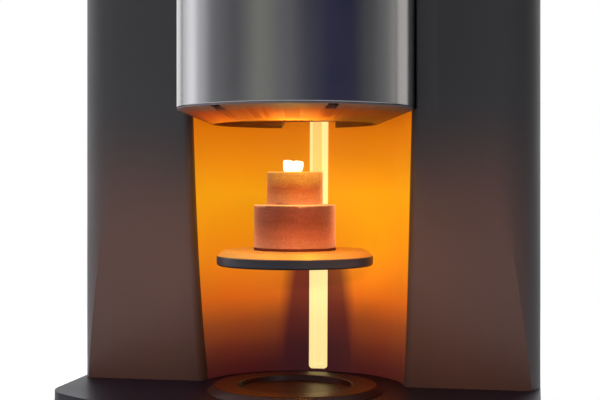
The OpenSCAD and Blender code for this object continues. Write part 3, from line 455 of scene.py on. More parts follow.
def metallic_paint(name, colour, metallic, roughness, coat=0.15, shine=0.5):
    """Sprayed metallic lacquer: fine flakes under a thin coat."""
    f = Finish(name, colour, metallic, roughness)
    f.shades(f.grain(FLAKE, 1), 0.92, 1.1)
    f.rough(f.grain(45, 3), roughness * 0.94, roughness * 1.08)
    f.bump(f.grain(FLAKE, 1), 0.0015)
    f.set("Coat Weight", coat)
    f.set("Coat Roughness", 0.3)
    f.set("Specular IOR Level", shine)
    return f.material


def silver_with_painted_glow():
    """Underside of the head: satin silver with a painted amber glow round the mouth, yellowest at
    its lip and grey at its rim.
    """
    f = Finish("underside_silver", (0.50, 0.50, 0.50), 0.4, 0.5)
    uneven = f.span(f.grain(18, 3), 0, 1, -0.003, 0.003)
    away = f.sums("ADD", f.from_axis(), uneven)
    # Painted light: the niche's amber glow and reflection, set by distance from the chamber axis
    painted_glow_tint = f.ramp(f.span(away, 0.028, 0.074), [
        (0.0, (0.20, 0.030, 0.006)),
        (0.44, (0.22, 0.045, 0.006)),
        (0.52, (0.30, 0.140, 0.012)),
        (0.62, (0.30, 0.090, 0.015)),
        (0.80, (0.28, 0.062, 0.018)),
        (0.88, (0.20, 0.10, 0.07)),
        (1.0, (0.17, 0.16, 0.18)),
    ])
    flakes = f.pair(f.grain(FLAKE, 1), (0.90, 0.90, 0.90), WHITE)
    f.join(f.blend(1.0, painted_glow_tint, flakes, "MULTIPLY"), "Base Color")
    f.rough(f.grain(45, 3), 0.46, 0.54)
    f.set("Specular IOR Level", 0.2)
    return f.material


def moulded(name, colour, roughness, size=0.6, depth=0.02, shine=0.4):
    """Moulded plastic with a fine spark grain."""
    f = Finish(name, colour, 0, roughness)
    f.shades(f.grain(20, 3), 0.85, 1.15)
    f.rough(f.grain(8, 3), roughness * 0.9, roughness * 1.12)
    f.bump(f.cells(size), depth)
    f.set("Specular IOR Level", shine)
    return f.material


def ground_metal(name, colour, roughness, stretch=(1, 1, 30), size=0.25, metallic=0.9):
    """Ground or drawn metal with fine lines along one direction."""
    f = Finish(name, colour, metallic, roughness)
    lines = f.grain(size, 3, 0.6, tuple(1 / s for s in stretch))
    f.shades(lines, 0.86, 1.1)
    f.rough(f.grain(12, 3), roughness * 0.8, roughness * 1.25)
    f.bump(lines, 0.006)
    return f.material


def zinc_plate():
    """Plated sheet with a faint spangle."""
    f = Finish("zinc_sheet", (0.50, 0.52, 0.53), 0.85, 0.38)
    f.shades(f.cells(9), 0.82, 1.1, 0.0, 0.8)
    f.rough(f.grain(5, 4), 0.304, 0.456)
    f.bump(f.grain(1.5, 3), 0.008)
    return f.material


def fibre_board(name, colour, size=1.2, depth=0.25):
    """Pressed ceramic fibre: short fibres, pits and soft lumps."""
    f = Finish(name, colour, 0, 0.95)
    f.shades(f.grain(size, 6, 0.65), 0.78, 1.06)
    f.bump(f.grain(size * 0.5, 5, 0.7, (1, 1, 0.4)), depth * 0.4)
    f.bump(f.grain(size * 4, 3), depth)
    f.set("Specular IOR Level", 0.1)
    return f.material


def faced_plate():
    """Loading plate: top and bevel faced on a lathe and painted bright amber as if lit from above;
    rim and underside slate grey as painted shade.
    """
    f = Finish("plate_alloy", (0.85, 0.48, 0.14), 0.9, 0.4)
    ring_pitch = 0.25
    noise = f.node("ShaderNodeTexNoise", Scale=1 / (ring_pitch * MM), Detail=2)
    noise.noise_dimensions = "1D"
    f.tree.links.new(f.from_axis(), noise.inputs["W"])
    rings = noise.outputs["Fac"]
    bevel = PLATE_BEVEL_Z * MM
    # Painted light: the top and bevel take a lit amber colour, the rim and underside a shaded slate
    # one
    bright = f.span(f.part("Z"), bevel, bevel + 0.0006)
    faced = f.pair(rings, (0.68, 0.33, 0.055), (0.78, 0.39, 0.085))
    slate = f.pair(f.grain(0.4, 2), (0.024, 0.023, 0.030), (0.036, 0.034, 0.044))
    f.join(f.blend(bright, slate, faced), "Base Color")
    f.join(f.span(bright, 0, 1, 0.35, 0.4), "Metallic")
    f.join(f.span(bright, 0, 1, 0.38, 0.42), "Roughness")
    f.bump(rings, 0.006)
    return f.material


def lit_wall():
    """Niche wall: satin moulding with painted light: its amber colour and emitted glow stand in for
    the lamps' light, the glow brightest in its upper half.
    """
    f = Finish("niche_wall_amber", (0.30, 0.085, 0.006), 0, 0.5)
    x, y, z = [f.part(axis) for axis in "XYZ"]
    height = f.span(z, FLOOR_Z * MM, HEAD_Z * MM)
    cloud = f.sums("ADD", height, f.span(f.grain(60, 2), 0.0, 1.0, -0.025, 0.025))
    # Painted light: the emitted glow stands in for the niche lamps' light, dark at the floor
    glow = f.ramp(cloud, [
        (0.0, (0.012, 0.002, 0.006)),
        (0.10, (0.038, 0.010, 0.008)),
        (0.20, (0.128, 0.036, 0.009)),
        (0.30, (0.40, 0.092, 0.006)),
        (0.42, (0.52, 0.165, 0.005)),
        (0.54, (0.55, 0.225, 0.004)),
        (0.69, (0.57, 0.295, 0.004)),
        (0.85, (0.56, 0.193, 0.003)),
        (0.94, (0.54, 0.145, 0.001)),
        (1.0, (0.42, 0.100, 0.001)),
    ])
    # Painted shadow: a dark band on each side of the strip, below the platform, where the platform
    # shades the wall
    half_width = f.span(z, 0.070, 0.135, 0.027, 0.019)
    from_edge = f.sums("SUBTRACT", half_width, f.sums("ABSOLUTE", x, 0))
    below = f.span(z, 0.134, 0.140, 0.95, 0.0)
    painted_shadow = f.sums("MULTIPLY", below, f.span(from_edge, -0.005, 0.004))
    dim = f.ramp(height, [(0.1, (0.020, 0.005, 0.009)), (0.4, (0.125, 0.015, 0.008))])
    lit = f.blend(painted_shadow, glow, dim)
    # Painted light: a yellower glow at the right of the blocks
    across = f.sums("MULTIPLY", f.span(x, 0.0, 0.035, 0.0, 0.3), f.span(x, 0.040, 0.062, 1.0, 0.45))
    upward = f.sums("MULTIPLY", f.span(z, 0.11, 0.15), f.span(z, 0.17, 0.21, 1.0, 0.0))
    lit = f.blend(f.sums("MULTIPLY", across, upward), lit, (0.95, 0.42, 0.002))
    # Painted light: the glow turns redder towards the wings
    lit = f.blend(f.span(y, -0.121, -0.112, 0.35, 0.0), lit, (0.95, 0.24, 0.010))
    f.join(lit, "Emission Color")
    f.set("Emission Strength", 1.0)
    # The amber base colour stands in for the lamps' amber light, and painted shade darkens it in
    # the bands and towards the floor
    amber = f.pair(f.grain(0.5, 2), (0.285, 0.080, 0.0055), (0.315, 0.090, 0.0065))
    dark = f.sums("MAXIMUM", painted_shadow, f.span(height, 0.04, 0.30, 0.9, 0.0))
    f.join(f.blend(dark, amber, (0.06, 0.018, 0.010)), "Base Color")
    f.rough(f.grain(25, 2), 0.42, 0.55)
    f.set("Specular IOR Level", 0.25)
    f.bump(f.cells(0.5), 0.008)
    return f.material


def lit_strip():
    """Light guide: a milky diffuser with the lamps' faint spots behind it."""
    f = Finish("strip_diffuser", (0.40, 0.34, 0.20), 0, 0.35)
    edge = f.span(f.sums("ABSOLUTE", f.part("X"), 0), 0.0035, 0.0062)
    glow = f.blend(edge, (0.88, 0.70, 0.28), (0.90, 0.72, 0.30))
    spots = f.span(f.grain(9, 1), 0.3, 0.7, 0.0, 0.15)
    f.join(f.blend(spots, glow, (0.96, 0.80, 0.34)), "Emission Color")
    f.set("Emission Strength", 1.0)
    f.rough(f.grain(3, 2), 0.3, 0.4)
    f.bump(f.grain(0.4, 1), 0.004)
    return f.material


def lit_bar():
    """Mast in front of the strip: a slim satin bar with a painted glow that stands in for the
    strip's light.
    """
    f = Finish("mast_painted_glow", (0.55, 0.38, 0.18), 0.3, 0.35)
    lines = f.grain(0.5, 2, 0.5, (1, 1, 0.03))
    f.shades(lines, 0.92, 1.05)
    height = f.span(f.part("Z"), 0.14, 0.24)
    # Painted light: the bar glows as if it carried the strip's light
    f.join(f.blend(height, (0.90, 0.50, 0.13), (0.88, 0.50, 0.15)), "Emission Color")
    f.set("Emission Strength", 0.95)
    f.rough(lines, 0.3, 0.42)
    f.bump(lines, 0.004)
    return f.material


def hot_crown():
    """Crown at firing heat: porous zirconia that glows white."""
    f = Finish("crown_zirconia", (0.96, 0.95, 0.92), 0, 0.55)
    f.shades(f.grain(0.5, 4), 0.94, 1.03)
    f.join(f.pair(f.grain(2.5, 2), (1.0, 0.90, 0.66), (1.0, 0.97, 0.86)), "Emission Color")
    f.set("Emission Strength", 1.0)
    f.set("Subsurface Weight", 0.25)
    f.set("Subsurface Scale", 0.002)
    f.bump(f.grain(0.6, 4), 0.03)
    return f.material


def firing_stone():
    """Firing block: light pressed ceramic with short fibres, fine pores and warm patches, under
    painted amber light and shade.
    """
    f = Finish("firing_stone", (0.44, 0.16, 0.08), 0, 0.9)
    y, z = f.part("Y"), f.part("Z")
    pores = f.grain(0.8, 5, 0.7)
    streaks = f.grain(3.5, 2, 0.5, (0.25, 0.25, 1.6))
    patch = f.grain(14, 3)
    fine = f.sums("ADD", f.sums("MULTIPLY", pores, 0.6), f.sums("MULTIPLY", streaks, 0.12))
    speckle = f.ramp(f.sums("ADD", fine, f.sums("MULTIPLY", patch, 0.28)), [
        (0.36, (0.66, 0.62, 0.60)),
        (0.47, (0.84, 0.82, 0.80)),
        (0.54, (1.0, 1.0, 1.0)),
        (0.66, (1.3, 1.4, 1.5)),
    ])
    # Painted light and shade by height: each block is paler at its foot and top than in its middle,
    # in orange tones that stand in for the niche's amber light
    uneven = f.span(patch, 0.3, 0.7, -0.0015, 0.0015)
    tone = f.ramp(f.span(f.sums("ADD", z, uneven), 0.153, 0.200), [
        (0.0, (0.45, 0.185, 0.098)),
        (0.14, (0.34, 0.098, 0.046)),
        (0.34, (0.172, 0.040, 0.020)),
        (0.54, (0.15, 0.045, 0.030)),
        (0.575, (0.43, 0.215, 0.115)),
        (0.66, (0.37, 0.155, 0.066)),
        (0.78, (0.29, 0.086, 0.025)),
        (0.90, (0.36, 0.205, 0.048)),
        (1.0, (0.40, 0.270, 0.075)),
    ])
    f.join(f.blend(1.0, speckle, tone, "MULTIPLY"), "Base Color")
    # Painted light: the top rims of both blocks and their backs glow as if lit by the wall
    start, full = 0.0009, 0.0003
    lower, upper = UPPER_Z * MM, CROWN_Z * MM
    lower_rim = f.sums(
        "MULTIPLY", f.span(z, lower - start, lower - full),
        f.span(z, lower + 0.0001, lower + full, 1.0, 0.0))
    rims = f.sums("ADD", lower_rim, f.span(z, upper - start, upper - full))
    backs = f.span(y, -0.142, -0.131, 0.0, 0.30)
    glow = f.sums("MAXIMUM", f.sums("MULTIPLY", rims, 0.85), backs)
    f.join(f.blend(glow, (0.0, 0.0, 0.0), (1.0, 0.50, 0.13)), "Emission Color")
    f.set("Emission Strength", 0.8)
    f.bump(pores, 0.25)
    f.bump(f.grain(0.35, 3, 0.6, (1, 1, 0.25)), 0.12)
    f.set("Specular IOR Level", 0.15)
    f.set("Sheen Weight", 1.0)
    f.set("Sheen Roughness", 0.4)
    f.set("Sheen Tint", (1.0, 0.53, 0.38, 1))
    f.set("Subsurface Weight", 0.1)
    f.set("Subsurface Scale", 0.002)
    return f.material


def screen_glass():
    """Cover glass of the display: black, polished, with faint finger marks."""
    f = Finish("screen_glass", (0.012, 0.013, 0.016), 0, 0.08)
    marks = f.grain(16, 4, 0.6)
    f.shades(marks, 0.7, 1.5)
    f.rough(marks, 0.04, 0.16)
    f.set("Coat Weight", 0.6)
    f.set("Coat Roughness", 0.04)
    return f.material


def circuit_board():
    """Solder mask over a grid of fine tracks."""
    f = Finish("circuit_board", (0.02, 0.14, 0.06), 0, 0.4)
    tracks = f.node(
        "ShaderNodeTexBrick", Vector=f.coordinates, Scale=160, Mortar_Size=0.03,
        Color1=(0.02, 0.13, 0.06, 1), Color2=(0.03, 0.17, 0.08, 1), Mortar=(0.05, 0.25, 0.12, 1))
    f.join(tracks.outputs["Color"], "Base Color")
    f.rough(f.grain(4, 3), 0.3, 0.5)
    f.bump(tracks.outputs["Fac"], 0.03)
    return f.material


silver_paint = metallic_paint("head_silver", (0.50, 0.50, 0.515), 1.0, 0.20)
under_paint = silver_with_painted_glow()
dark_paint = metallic_paint("shell_graphite", (0.050, 0.049, 0.054), 0.35, 0.5)
# The ring's red-brown tint is painted amber light from the niche
ring_paint = metallic_paint("ring_graphite_painted_glow", (0.024, 0.0035, 0.002), 0.3, 0.36, coat=0.0)
base_paint = metallic_paint(
    "base_graphite", (0.0020, 0.0014, 0.0065), 0.1, 0.40, coat=0.0, shine=0.3)
motor_black = metallic_paint("motor_black", (0.03, 0.03, 0.033), 0.3, 0.45)
amber_wall = lit_wall()
strip_glow = lit_strip()
mast_painted_glow = lit_bar()
crown_glow = hot_crown()
plate_metal = faced_plate()
stone = firing_stone()
seat_dark = fibre_board("seat_dark", (0.10, 0.020, 0.010), 0.6, 0.05)
fibre = fibre_board("chamber_fibre", (0.88, 0.85, 0.80))
graphite = fibre_board("susceptor_graphite", (0.06, 0.06, 0.065), 0.5, 0.03)
former_ceramic = fibre_board("former_ceramic", (0.78, 0.72, 0.60), 0.8, 0.04)
copper = ground_metal("coil_copper", (0.72, 0.34, 0.18), 0.32, (1, 1, 1), 1.2, 1.0)
bronze = ground_metal("bearing_bronze", (0.60, 0.42, 0.16), 0.34, (30, 30, 1), 0.3, 1.0)
steel = ground_metal("ground_steel", (0.56, 0.57, 0.58), 0.3)
grille_steel = ground_metal("grille_steel", (0.52, 0.53, 0.54), 0.28, (30, 1, 1), 0.3)
alloy = ground_metal("milled_alloy", (0.66, 0.67, 0.69), 0.38, (20, 1, 1), 0.4)
zinc = zinc_plate()
lamp_lens = moulded("lamp_lens", (0.010, 0.006, 0.006), 0.3, 0.8, 0.01, 0.3)
rubber = moulded("rubber_black", (0.022, 0.022, 0.023), 0.78, 0.7, 0.05, 0.25)
black_plastic = moulded("plastic_black", (0.025, 0.025, 0.027), 0.5, 0.6, 0.03)
fan_plastic = moulded("fan_plastic", (0.035, 0.035, 0.038), 0.42, 0.9, 0.02)
rocker_red = moulded("rocker_red", (0.42, 0.03, 0.02), 0.3, 0.8, 0.01, 0.5)
screen = screen_glass()
board = circuit_board()


# Camera, in metres, at the photograph's viewing angle

camera = in_scene("camera", bpy.data.cameras.new("camera"))
camera.location = (0.1462, -0.8915, 0.19218)
camera.rotation_euler = (math.radians(90), 0, math.radians(10.969))
camera.data.lens = 74.16
camera.data.sensor_width = 36
camera.data.shift_x = 0.00865
camera.data.shift_y = -0.0259
camera.data.clip_start = 0.01
bpy.context.scene.camera = camera
bpy.context.scene.view_settings.view_transform = "Standard"


# Wings: their front bows out towards the floor and follows the slope at the top

BOW_H = 170
BOW_DEPTH = 13
BOW_Z = FLOOR_Z + BOW_H
BOW_R = (BOW_H ** 2 + BOW_DEPTH ** 2) / (2 * BOW_DEPTH)
CORNER_R = 30
CORNER_Y = FRONT_Y + CORNER_R
TOP_R = 25
BACK_Y = SEAM_Y - SEAM_GAP
WING_WALL = 3
# Depths behind the front where the niche's edge starts to round; the last is its radius
NICHE_EDGE = (7, 6, 5)
HEAD_EDGE_R = 1.5
HEAD_GAP = 1
LEAST_EDGE_R = 0.05
EDGE_STEPS, FRONT_STEPS, CORNER_STEPS, SIDE_STEPS = 8, 9, 12, 4


def front_at(z):
    """Place of the wings' front along Y at a height."""
    if z < BOW_Z:
        return FRONT_Y + BOW_R - math.sqrt(BOW_R ** 2 - (BOW_Z - z) ** 2)
    return max(FRONT_Y, NOSE_FRONT_Y + (z - NOSE_TOP_Z) / SLOPE)


def half_width_at(z):
    """Half of the width over the wings at a height."""
    over = max(0, z - (TOP_Z - TOP_R))
    return HALF_W - TOP_R + math.sqrt(max(0, TOP_R ** 2 - over ** 2))


def niche_x(z, y):
    """Half width of the niche wall at a height and a place along Y."""
    r = NICHE_FLOOR_R + (z - FLOOR_Z) * NICHE_FLARE
    return math.sqrt(r * r - (y - NICHE_Y) ** 2)


def wing_section(z, in_niche):
    """Outline of the right wing at a height, from the niche round to the seam."""
    front = front_at(z)
    limit = half_width_at(z)
    if in_niche:
        edge_r = NICHE_EDGE[-1]
        edge_x = niche_x(z, front + edge_r)
        points = [(niche_x(z, front + depth), front + depth) for depth in NICHE_EDGE]
    else:
        edge_r = HEAD_EDGE_R
        edge_x = NOSE_R + HEAD_GAP
        start = front + edge_r
        inner = [start + (BACK_Y - start) * share for share in (1, 0.5, 0)]
        points = [(edge_x, max(y, min(start, BACK_Y))) for y in inner]
    edge_r = min(edge_r, max(LEAST_EDGE_R, BACK_Y - front))
    for i in range(1, EDGE_STEPS):
        a = math.pi / 2 * i / EDGE_STEPS
        points.append((edge_x + edge_r * (1 - math.cos(a)), front + edge_r * (1 - math.sin(a))))
    turn = math.asin(min(1, (CORNER_Y - front) / CORNER_R)) if front < CORNER_Y else 0
    flat_x = edge_x + edge_r
    x_end = HALF_W - CORNER_R + CORNER_R * math.cos(turn)
    for i in range(FRONT_STEPS):
        points.append((flat_x + (x_end - flat_x) * i / FRONT_STEPS, front))
    for i in range(CORNER_STEPS + 1):
        a = turn * (1 - i / CORNER_STEPS)
        x = HALF_W - CORNER_R + CORNER_R * math.cos(a)
        points.append((x, max(front, CORNER_Y - CORNER_R * math.sin(a))))
    side_y = max(front, CORNER_Y)
    for i in range(1, SIDE_STEPS + 1):
        points.append((HALF_W, side_y + (BACK_Y - side_y) * i / SIDE_STEPS))
    return [(min(x, limit), min(y, BACK_Y), z) for x, y in points]


def wing_piece(name, side, node):
    """One wing as a thin shell; side is 1 for the right wing and -1 for the left."""
    niche_steps = 24
    niche_top = HEAD_Z - SEAM_GAP
    niche = [FLOOR_Z + (niche_top - FLOOR_Z) * i / niche_steps for i in range(niche_steps + 1)]
    upright = [262, 300, 350, 400, 450, 490, 503, 507.6, 512, 520, 530, 540, TOP_Z - TOP_R]
    angles = (12, 24, 36, 47, 57, 66, 74, 80, 85)
    curve = [TOP_Z - TOP_R + TOP_R * math.sin(math.radians(a)) for a in angles]
    beside_head = [niche_top, *upright, *curve, TOP_Z - SEAM_GAP]
    rows = [wing_section(z, True) for z in niche]
    rows += [wing_section(z, False) for z in beside_head]
    rows = [[(side * x, y, z) for x, y, z in row][::side] for row in rows]
    place(sheet_from(name, rows, dark_paint, WING_WALL, 28), "root", node)


wing_piece("right_wing_shell", 1, "right_wing")
wing_piece("left_wing_shell", -1, "left_wing")


# Turned pieces on the chamber axis

plate_profile = rounded([
    (0, PLATE_Z, 0),
    (PLATE_R, PLATE_Z, 1.9),
    (PLATE_R, PLATE_BEVEL_Z, 1.2),
    (44.0, PLATE_TOP_Z, 1.0),
    (0, PLATE_TOP_Z, 0),
], 6)
plate = turned("loading_plate_disc", plate_profile, plate_metal)
place(plate, "lift", "loading_plate")


def firing_block(name, radius, low, high, node):
    """A round block with a small edge at its foot and a softer one at its top."""
    profile = rounded([(0, low, 0), (radius, low, 0.5), (radius, high, 0.9), (0, high, 0)], 4)
    place(turned(name, profile, stone), "lift", node)


firing_block("lower_firing_block", 25.3, LOWER_Z, UPPER_Z, "lower_block")
firing_block("upper_firing_block", 17.4, UPPER_Z, CROWN_Z, "upper_block")

seat_profile = rounded([
    (12, PLATE_TOP_Z, 0.2),
    (25.5, PLATE_TOP_Z, 0.3),
    (25.5, LOWER_Z, 0.3),
    (12, LOWER_Z, 0.2),
], 3)
place(turned("block_seat", seat_profile, seat_dark), "lift", "seat_ring")


def crown_piece():
    """A molar crown: waisted at its neck, with four low cusps round a shallow hollow."""
    count = 64
    half_wide, half_deep, squareness = 6.4, 5.3, 2.8
    waist_top, shift, notch = 4, 0.9, 0.035
    bulge_z, bulge_h, bulge_lift = 4.6, 1.7, 0.55
    rim_z, rim_lift, cusp_lift, hollow_depth = 6.45, 0.25, 0.75, 1.25
    # Sides as (height, share of the outline), then shares that close the top inward
    sides = [(0, 0.74), (0.6, 0.80), (1.6, 0.88), (2.8, 0.95),
             (4.0, 0.99), (5.0, 1.0), (5.8, 0.975), (6.3, 0.93)]
    inward = [0.86, 0.78, 0.69, 0.60, 0.50, 0.40, 0.30, 0.20, 0.10]
    turns = [2 * math.pi * i / count for i in range(count)]

    def cusp(a):
        return 0.5 + 0.5 * math.cos(4 * (a - math.pi / 4))

    def outline(a):
        wide, deep = abs(math.cos(a) / half_wide), abs(math.sin(a) / half_deep)
        r = (wide ** squareness + deep ** squareness) ** (-1 / squareness)
        return r * (1 - notch * (1 - cusp(a)))

    def tooth_point(a, share, height):
        """The crown leans: its left cusps stand higher and its neck is cut in on the right."""
        x = share * outline(a) * math.cos(a)
        tilt = 1
        if height < waist_top:
            x *= 1 + (0.050 if x < 0 else 0.012) * (waist_top - height)
        x -= shift
        if height > waist_top:
            tilt = 1 - 0.010 * x
        return (x, AXIS_Y + share * outline(a) * math.sin(a), CROWN_Z + height * tilt)

    rings = []
    for height, share in sides:
        lift = bulge_lift * max(0, height - bulge_z) / bulge_h
        rings.append([(share, height + lift * cusp(a)) for a in turns])
    for share in inward:
        rise = math.sin(math.pi * min(1, (share - 0.1) / 0.9)) ** 1.2
        hollow = hollow_depth * (1 - share) ** 1.3
        rings.append([
            (share, rim_z + (rim_lift + cusp_lift * cusp(a)) * rise - hollow) for a in turns])
    bm = bmesh.new()
    loops = [
        [bm.verts.new(tooth_point(a, *point)) for a, point in zip(turns, ring)]
        for ring in rings
    ]
    for low, high in zip(loops, loops[1:]):
        for i in range(count):
            bm.faces.new((low[i - 1], low[i], high[i], high[i - 1]))
    bm.faces.new(loops[0][::-1])
    bm.faces.new(loops[-1])
    crown = piece_from("glowing_crown", bm, crown_glow, 50)
    place(crown, "lift", "sample_crown")


crown_piece()

ring_top_z, ring_well_z = 68.4, 64.7
landing_profile = rounded([
    (0, FLOOR_Z, 0),
    (55, FLOOR_Z, 0.3),
    (50.5, ring_top_z, 1.6),
    (35.5, ring_top_z, 0.8),
    (34.5, ring_well_z, 0.6),
    (0, ring_well_z, 0),
], 6)
landing_rim = turned("landing_ring_rim", landing_profile, ring_paint)
place(landing_rim, "root", "landing_ring")


# Pieces grown by Geometry Nodes: cover screws, fan grille and induction coil

REAR_Y = 217
FAN_Z = 400


def cover_screws():
    """Six socket head screws on the rear cover."""
    head_h, shank_l, socket_lift = 0.0022, 0.0074, 0.0009
    low, high, side = 78, 526, 133
    tree = Tree("socket_screws", {
        "Head Radius": 0.0032, "Head Height": head_h, "Socket": 0.0016, "Shank": 0.0015})
    head = tree.cylinder(32, tree.size("Head Radius"), tree.size("Head Height"))
    socket = tree.cylinder(6, tree.size("Socket"), tree.size("Head Height"))
    sunk = tree.moved(socket, (0, 0, socket_lift))
    cut = tree.node("MeshBoolean", {"Mesh 1": head, "Mesh 2": sunk}, operation="DIFFERENCE")
    shank = tree.cylinder(20, tree.size("Shank"), shank_l)
    screw = tree.joined(
        tree.moved(cut, (0, 0, head_h / 2)), tree.moved(shank, (0, 0, -shank_l / 2)))
    points = tree.node("MeshToPoints", {"Mesh": tree.start.outputs[0]})
    placed = tree.node("InstanceOnPoints", {
        "Points": points, "Instance": screw, "Rotation": (-math.pi / 2, 0, 0)})
    tree.finish(placed, steel)
    places = [(x, REAR_Y, z) for x in (-side, side) for z in (low, (low + high) / 2, high)]
    screws = tree.grow("socket_screws", mesh_of("screw_places", places))
    place(screws, "root", "cover_screws")


def fan_grille():
    """Wire finger guard: rings, two spokes across and four lugs."""
    reach = 0.063
    lug_r, lug_t, hub_r, hub_t = 0.0045, 0.0022, 0.005, 0.0024
    grille_y = REAR_Y + hub_t / MM / 2
    tree = Tree("wire_grille", {
        "Rings": 4, "First Ring": 0.014, "Pitch": 0.011, "Wire": 0.0012, "Reach": reach})
    step = math_node(tree.group, "MULTIPLY", tree.node("InputIndex", {}), tree.size("Pitch"))
    radius = math_node(tree.group, "ADD", step, tree.size("First Ring"))
    rings = tree.node("InstanceOnPoints", {
        "Points": tree.node("Points", {"Count": tree.size("Rings")}),
        "Instance": tree.node("CurvePrimitiveCircle", {"Resolution": 96, "Radius": 1.0}),
        "Scale": radius})
    spoke = tree.node("CurvePrimitiveLine", {"Start": (-reach, 0, 0), "End": (reach, 0, 0)})
    spokes = [tree.moved(spoke, turn=(0, 0, side * math.pi / 4)) for side in (1, -1)]
    wires = tree.node("RealizeInstances", {0: tree.joined(rings, *spokes)})
    section = tree.node("CurvePrimitiveCircle", {"Resolution": 12, "Radius": tree.size("Wire")})
    solid = tree.node("CurveToMesh", {
        "Curve": wires, "Profile Curve": section, "Fill Caps": True})
    corners = tree.node("MeshCircle", {"Vertices": 4, "Radius": tree.size("Reach")})
    lugs = tree.node("InstanceOnPoints", {
        "Points": tree.moved(corners, turn=(0, 0, math.pi / 4)),
        "Instance": tree.cylinder(32, lug_r, lug_t)})
    whole = tree.joined(solid, lugs, tree.cylinder(32, hub_r, hub_t))
    upright = tree.moved(whole, (0, grille_y * MM, FAN_Z * MM), (math.pi / 2, 0, 0))
    tree.finish(upright, grille_steel)
    grille = tree.grow("wire_grille", mesh_of("grille_centre", [(0, 0, 0)]))
    place(grille, "root", "fan_grille")


def induction_coil():
    """Copper tube wound round the chamber, with its two leads to the terminals."""
    tube_r, turns, pitch, steps = 3, 5.5, 7, 48
    coil_r = 57.2
    bottom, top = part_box("induction_coil")
    low_z = bottom.z / MM + tube_r
    back_y = top.y / MM
    path = [(-coil_r, back_y, low_z)]
    for i in range(int(turns * steps) + 1):
        a = math.pi + 2 * math.pi * i / steps
        path.append((
            coil_r * math.cos(a), AXIS_Y + coil_r * math.sin(a), low_z + pitch * i / steps))
    path.append((coil_r, back_y, low_z + pitch * turns))
    edges = [(i, i + 1) for i in range(len(path) - 1)]
    tree = Tree("wound_tube", {"Tube Radius": tube_r * MM, "Sides": 16})
    line = tree.node("MeshToCurve", {"Mesh": tree.start.outputs[0]})
    section = tree.node("CurvePrimitiveCircle", {
        "Resolution": tree.size("Sides"), "Radius": tree.size("Tube Radius")})
    tube = tree.node("CurveToMesh", {
        "Curve": line, "Profile Curve": section, "Fill Caps": True})
    tree.finish(tube, copper)
    coil = tree.grow("wound_coil", mesh_of("coil_path", path, edges))
    place(coil, "root", "induction_coil")


cover_screws()
fan_grille()
induction_coil()


# Other CAD pieces, with softened edges and their own finishes

DRESSED = [
    # node, body, slot, material, edge in mm
    ("plinth_cover", "root", "dark_shell", base_paint, 1.2),
    ("hood", "root", "dark_shell", dark_paint, 0.5),
    ("rear_cover", "root", "dark_shell", dark_paint, 0.4),
    ("wall_buffers", "root", "rubber", rubber, 0.5),
    ("rubber_feet", "root", "rubber", rubber, 0.6),
    ("niche_liner", "root", "amber_liner", amber_wall, 0.25),
    ("light_guide", "root", "lit_strip", strip_glow, 0.3),
    ("niche_lamps", "root", "lamp", lamp_lens, 0.2),
    ("head_cover", "root", "silver_shell", silver_paint, 0.6),
    ("head_underside", "root", "silver_shell", under_paint, 0.25),
    ("display_frame", "root", "black_plastic", black_plastic, 0.3),
    ("touch_display", "root", "display", screen, 0.3),
    ("lift_mast", "lift", "steel", mast_painted_glow, 0.2),
    ("lift_arm", "lift", "steel", steel, 0.4),
    ("power_entry", "root", "black_plastic", black_plastic, 0.3),
    ("mains_rocker", "rocker", "rocker_red", rocker_red, 0.3),
    ("fuse_drawer", "drawer", "black_plastic", black_plastic, 0.3),
]
for node, body, slot, material, edge in DRESSED:
    place(dressed(node, material, edge), body, node)

# CAD pieces that keep their own mesh
KEPT = {
    zinc: ["base_pan", "muffle_casing", "bulkhead", "side_frames", "electronics_deck",
           "motor_bracket", "power_supply"],
    board: ["led_board", "control_board", "generator_board"],
    steel: ["carrier_plate", "pyrometer", "guide_rods", "lead_screw"],
    fibre: ["mouth_insulation", "jacket_insulation", "lid_insulation"],
    graphite: ["susceptor"],
    former_ceramic: ["coil_former"],
    copper: ["coil_terminals"],
    alloy: ["lift_carriage", "lower_bearing_block", "upper_bearing_block", "shaft_coupling",
            "generator_heat_sink"],
    bronze: ["guide_bushings", "lift_nut"],
    motor_black: ["stepper_motor"],
    fan_plastic: ["rear_fan_frame", "rear_fan_rotor"],
}
for material, nodes in KEPT.items():
    for node in nodes:
        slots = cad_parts[node].data.materials
        for i in range(len(slots)):
            slots[i] = material


# Floor

def floor_finish():
    """Pale floor that keeps the shadow near the furnace and runs out to plain white."""
    f = Finish("floor_pale", (0.80, 0.80, 0.80), 0, 0.7)
    seen = f.node("ShaderNodeLightPath").outputs["Is Camera Ray"]
    pale = f.pair(f.grain(120, 2), (0.78, 0.78, 0.78), (0.82, 0.82, 0.82))
    f.join(f.blend(seen, (0.42, 0.42, 0.42), pale), "Base Color")
    f.bump(f.grain(3, 2), 0.02)
    far = f.span(length_of(f.tree, f.coordinates), 0.40, 1.1)
    mix = f.tree.nodes.new("ShaderNodeMixShader")
    white = f.node("ShaderNodeEmission")
    feed(f.tree, f.sums("MULTIPLY", far, seen), mix.inputs[0])
    feed(f.tree, f.shader.outputs[0], mix.inputs[1])
    feed(f.tree, white.outputs[0], mix.inputs[2])
    feed(f.tree, mix.outputs[0], f.tree.nodes["Material Output"].inputs["Surface"])
    return f.material


bm = bmesh.new()
bmesh.ops.create_grid(bm, x_segments=1, y_segments=1, size=3)
floor = in_scene("floor", mesh_from("floor", bm))
floor.data.materials.append(floor_finish())


# Lamps: places and sizes in metres, power in watts

def lamp(name, kind, place_at, look_at, power, colour):
    """A lamp at a place, aimed at a point."""
    data = bpy.data.lights.new(name, kind)
    data.energy = power
    data.color = colour
    obj = in_scene(name, data)
    obj.location = place_at
    aim = Vector(look_at) - Vector(place_at)
    obj.rotation_euler = aim.to_track_quat("-Z", "Y").to_euler()
    return obj


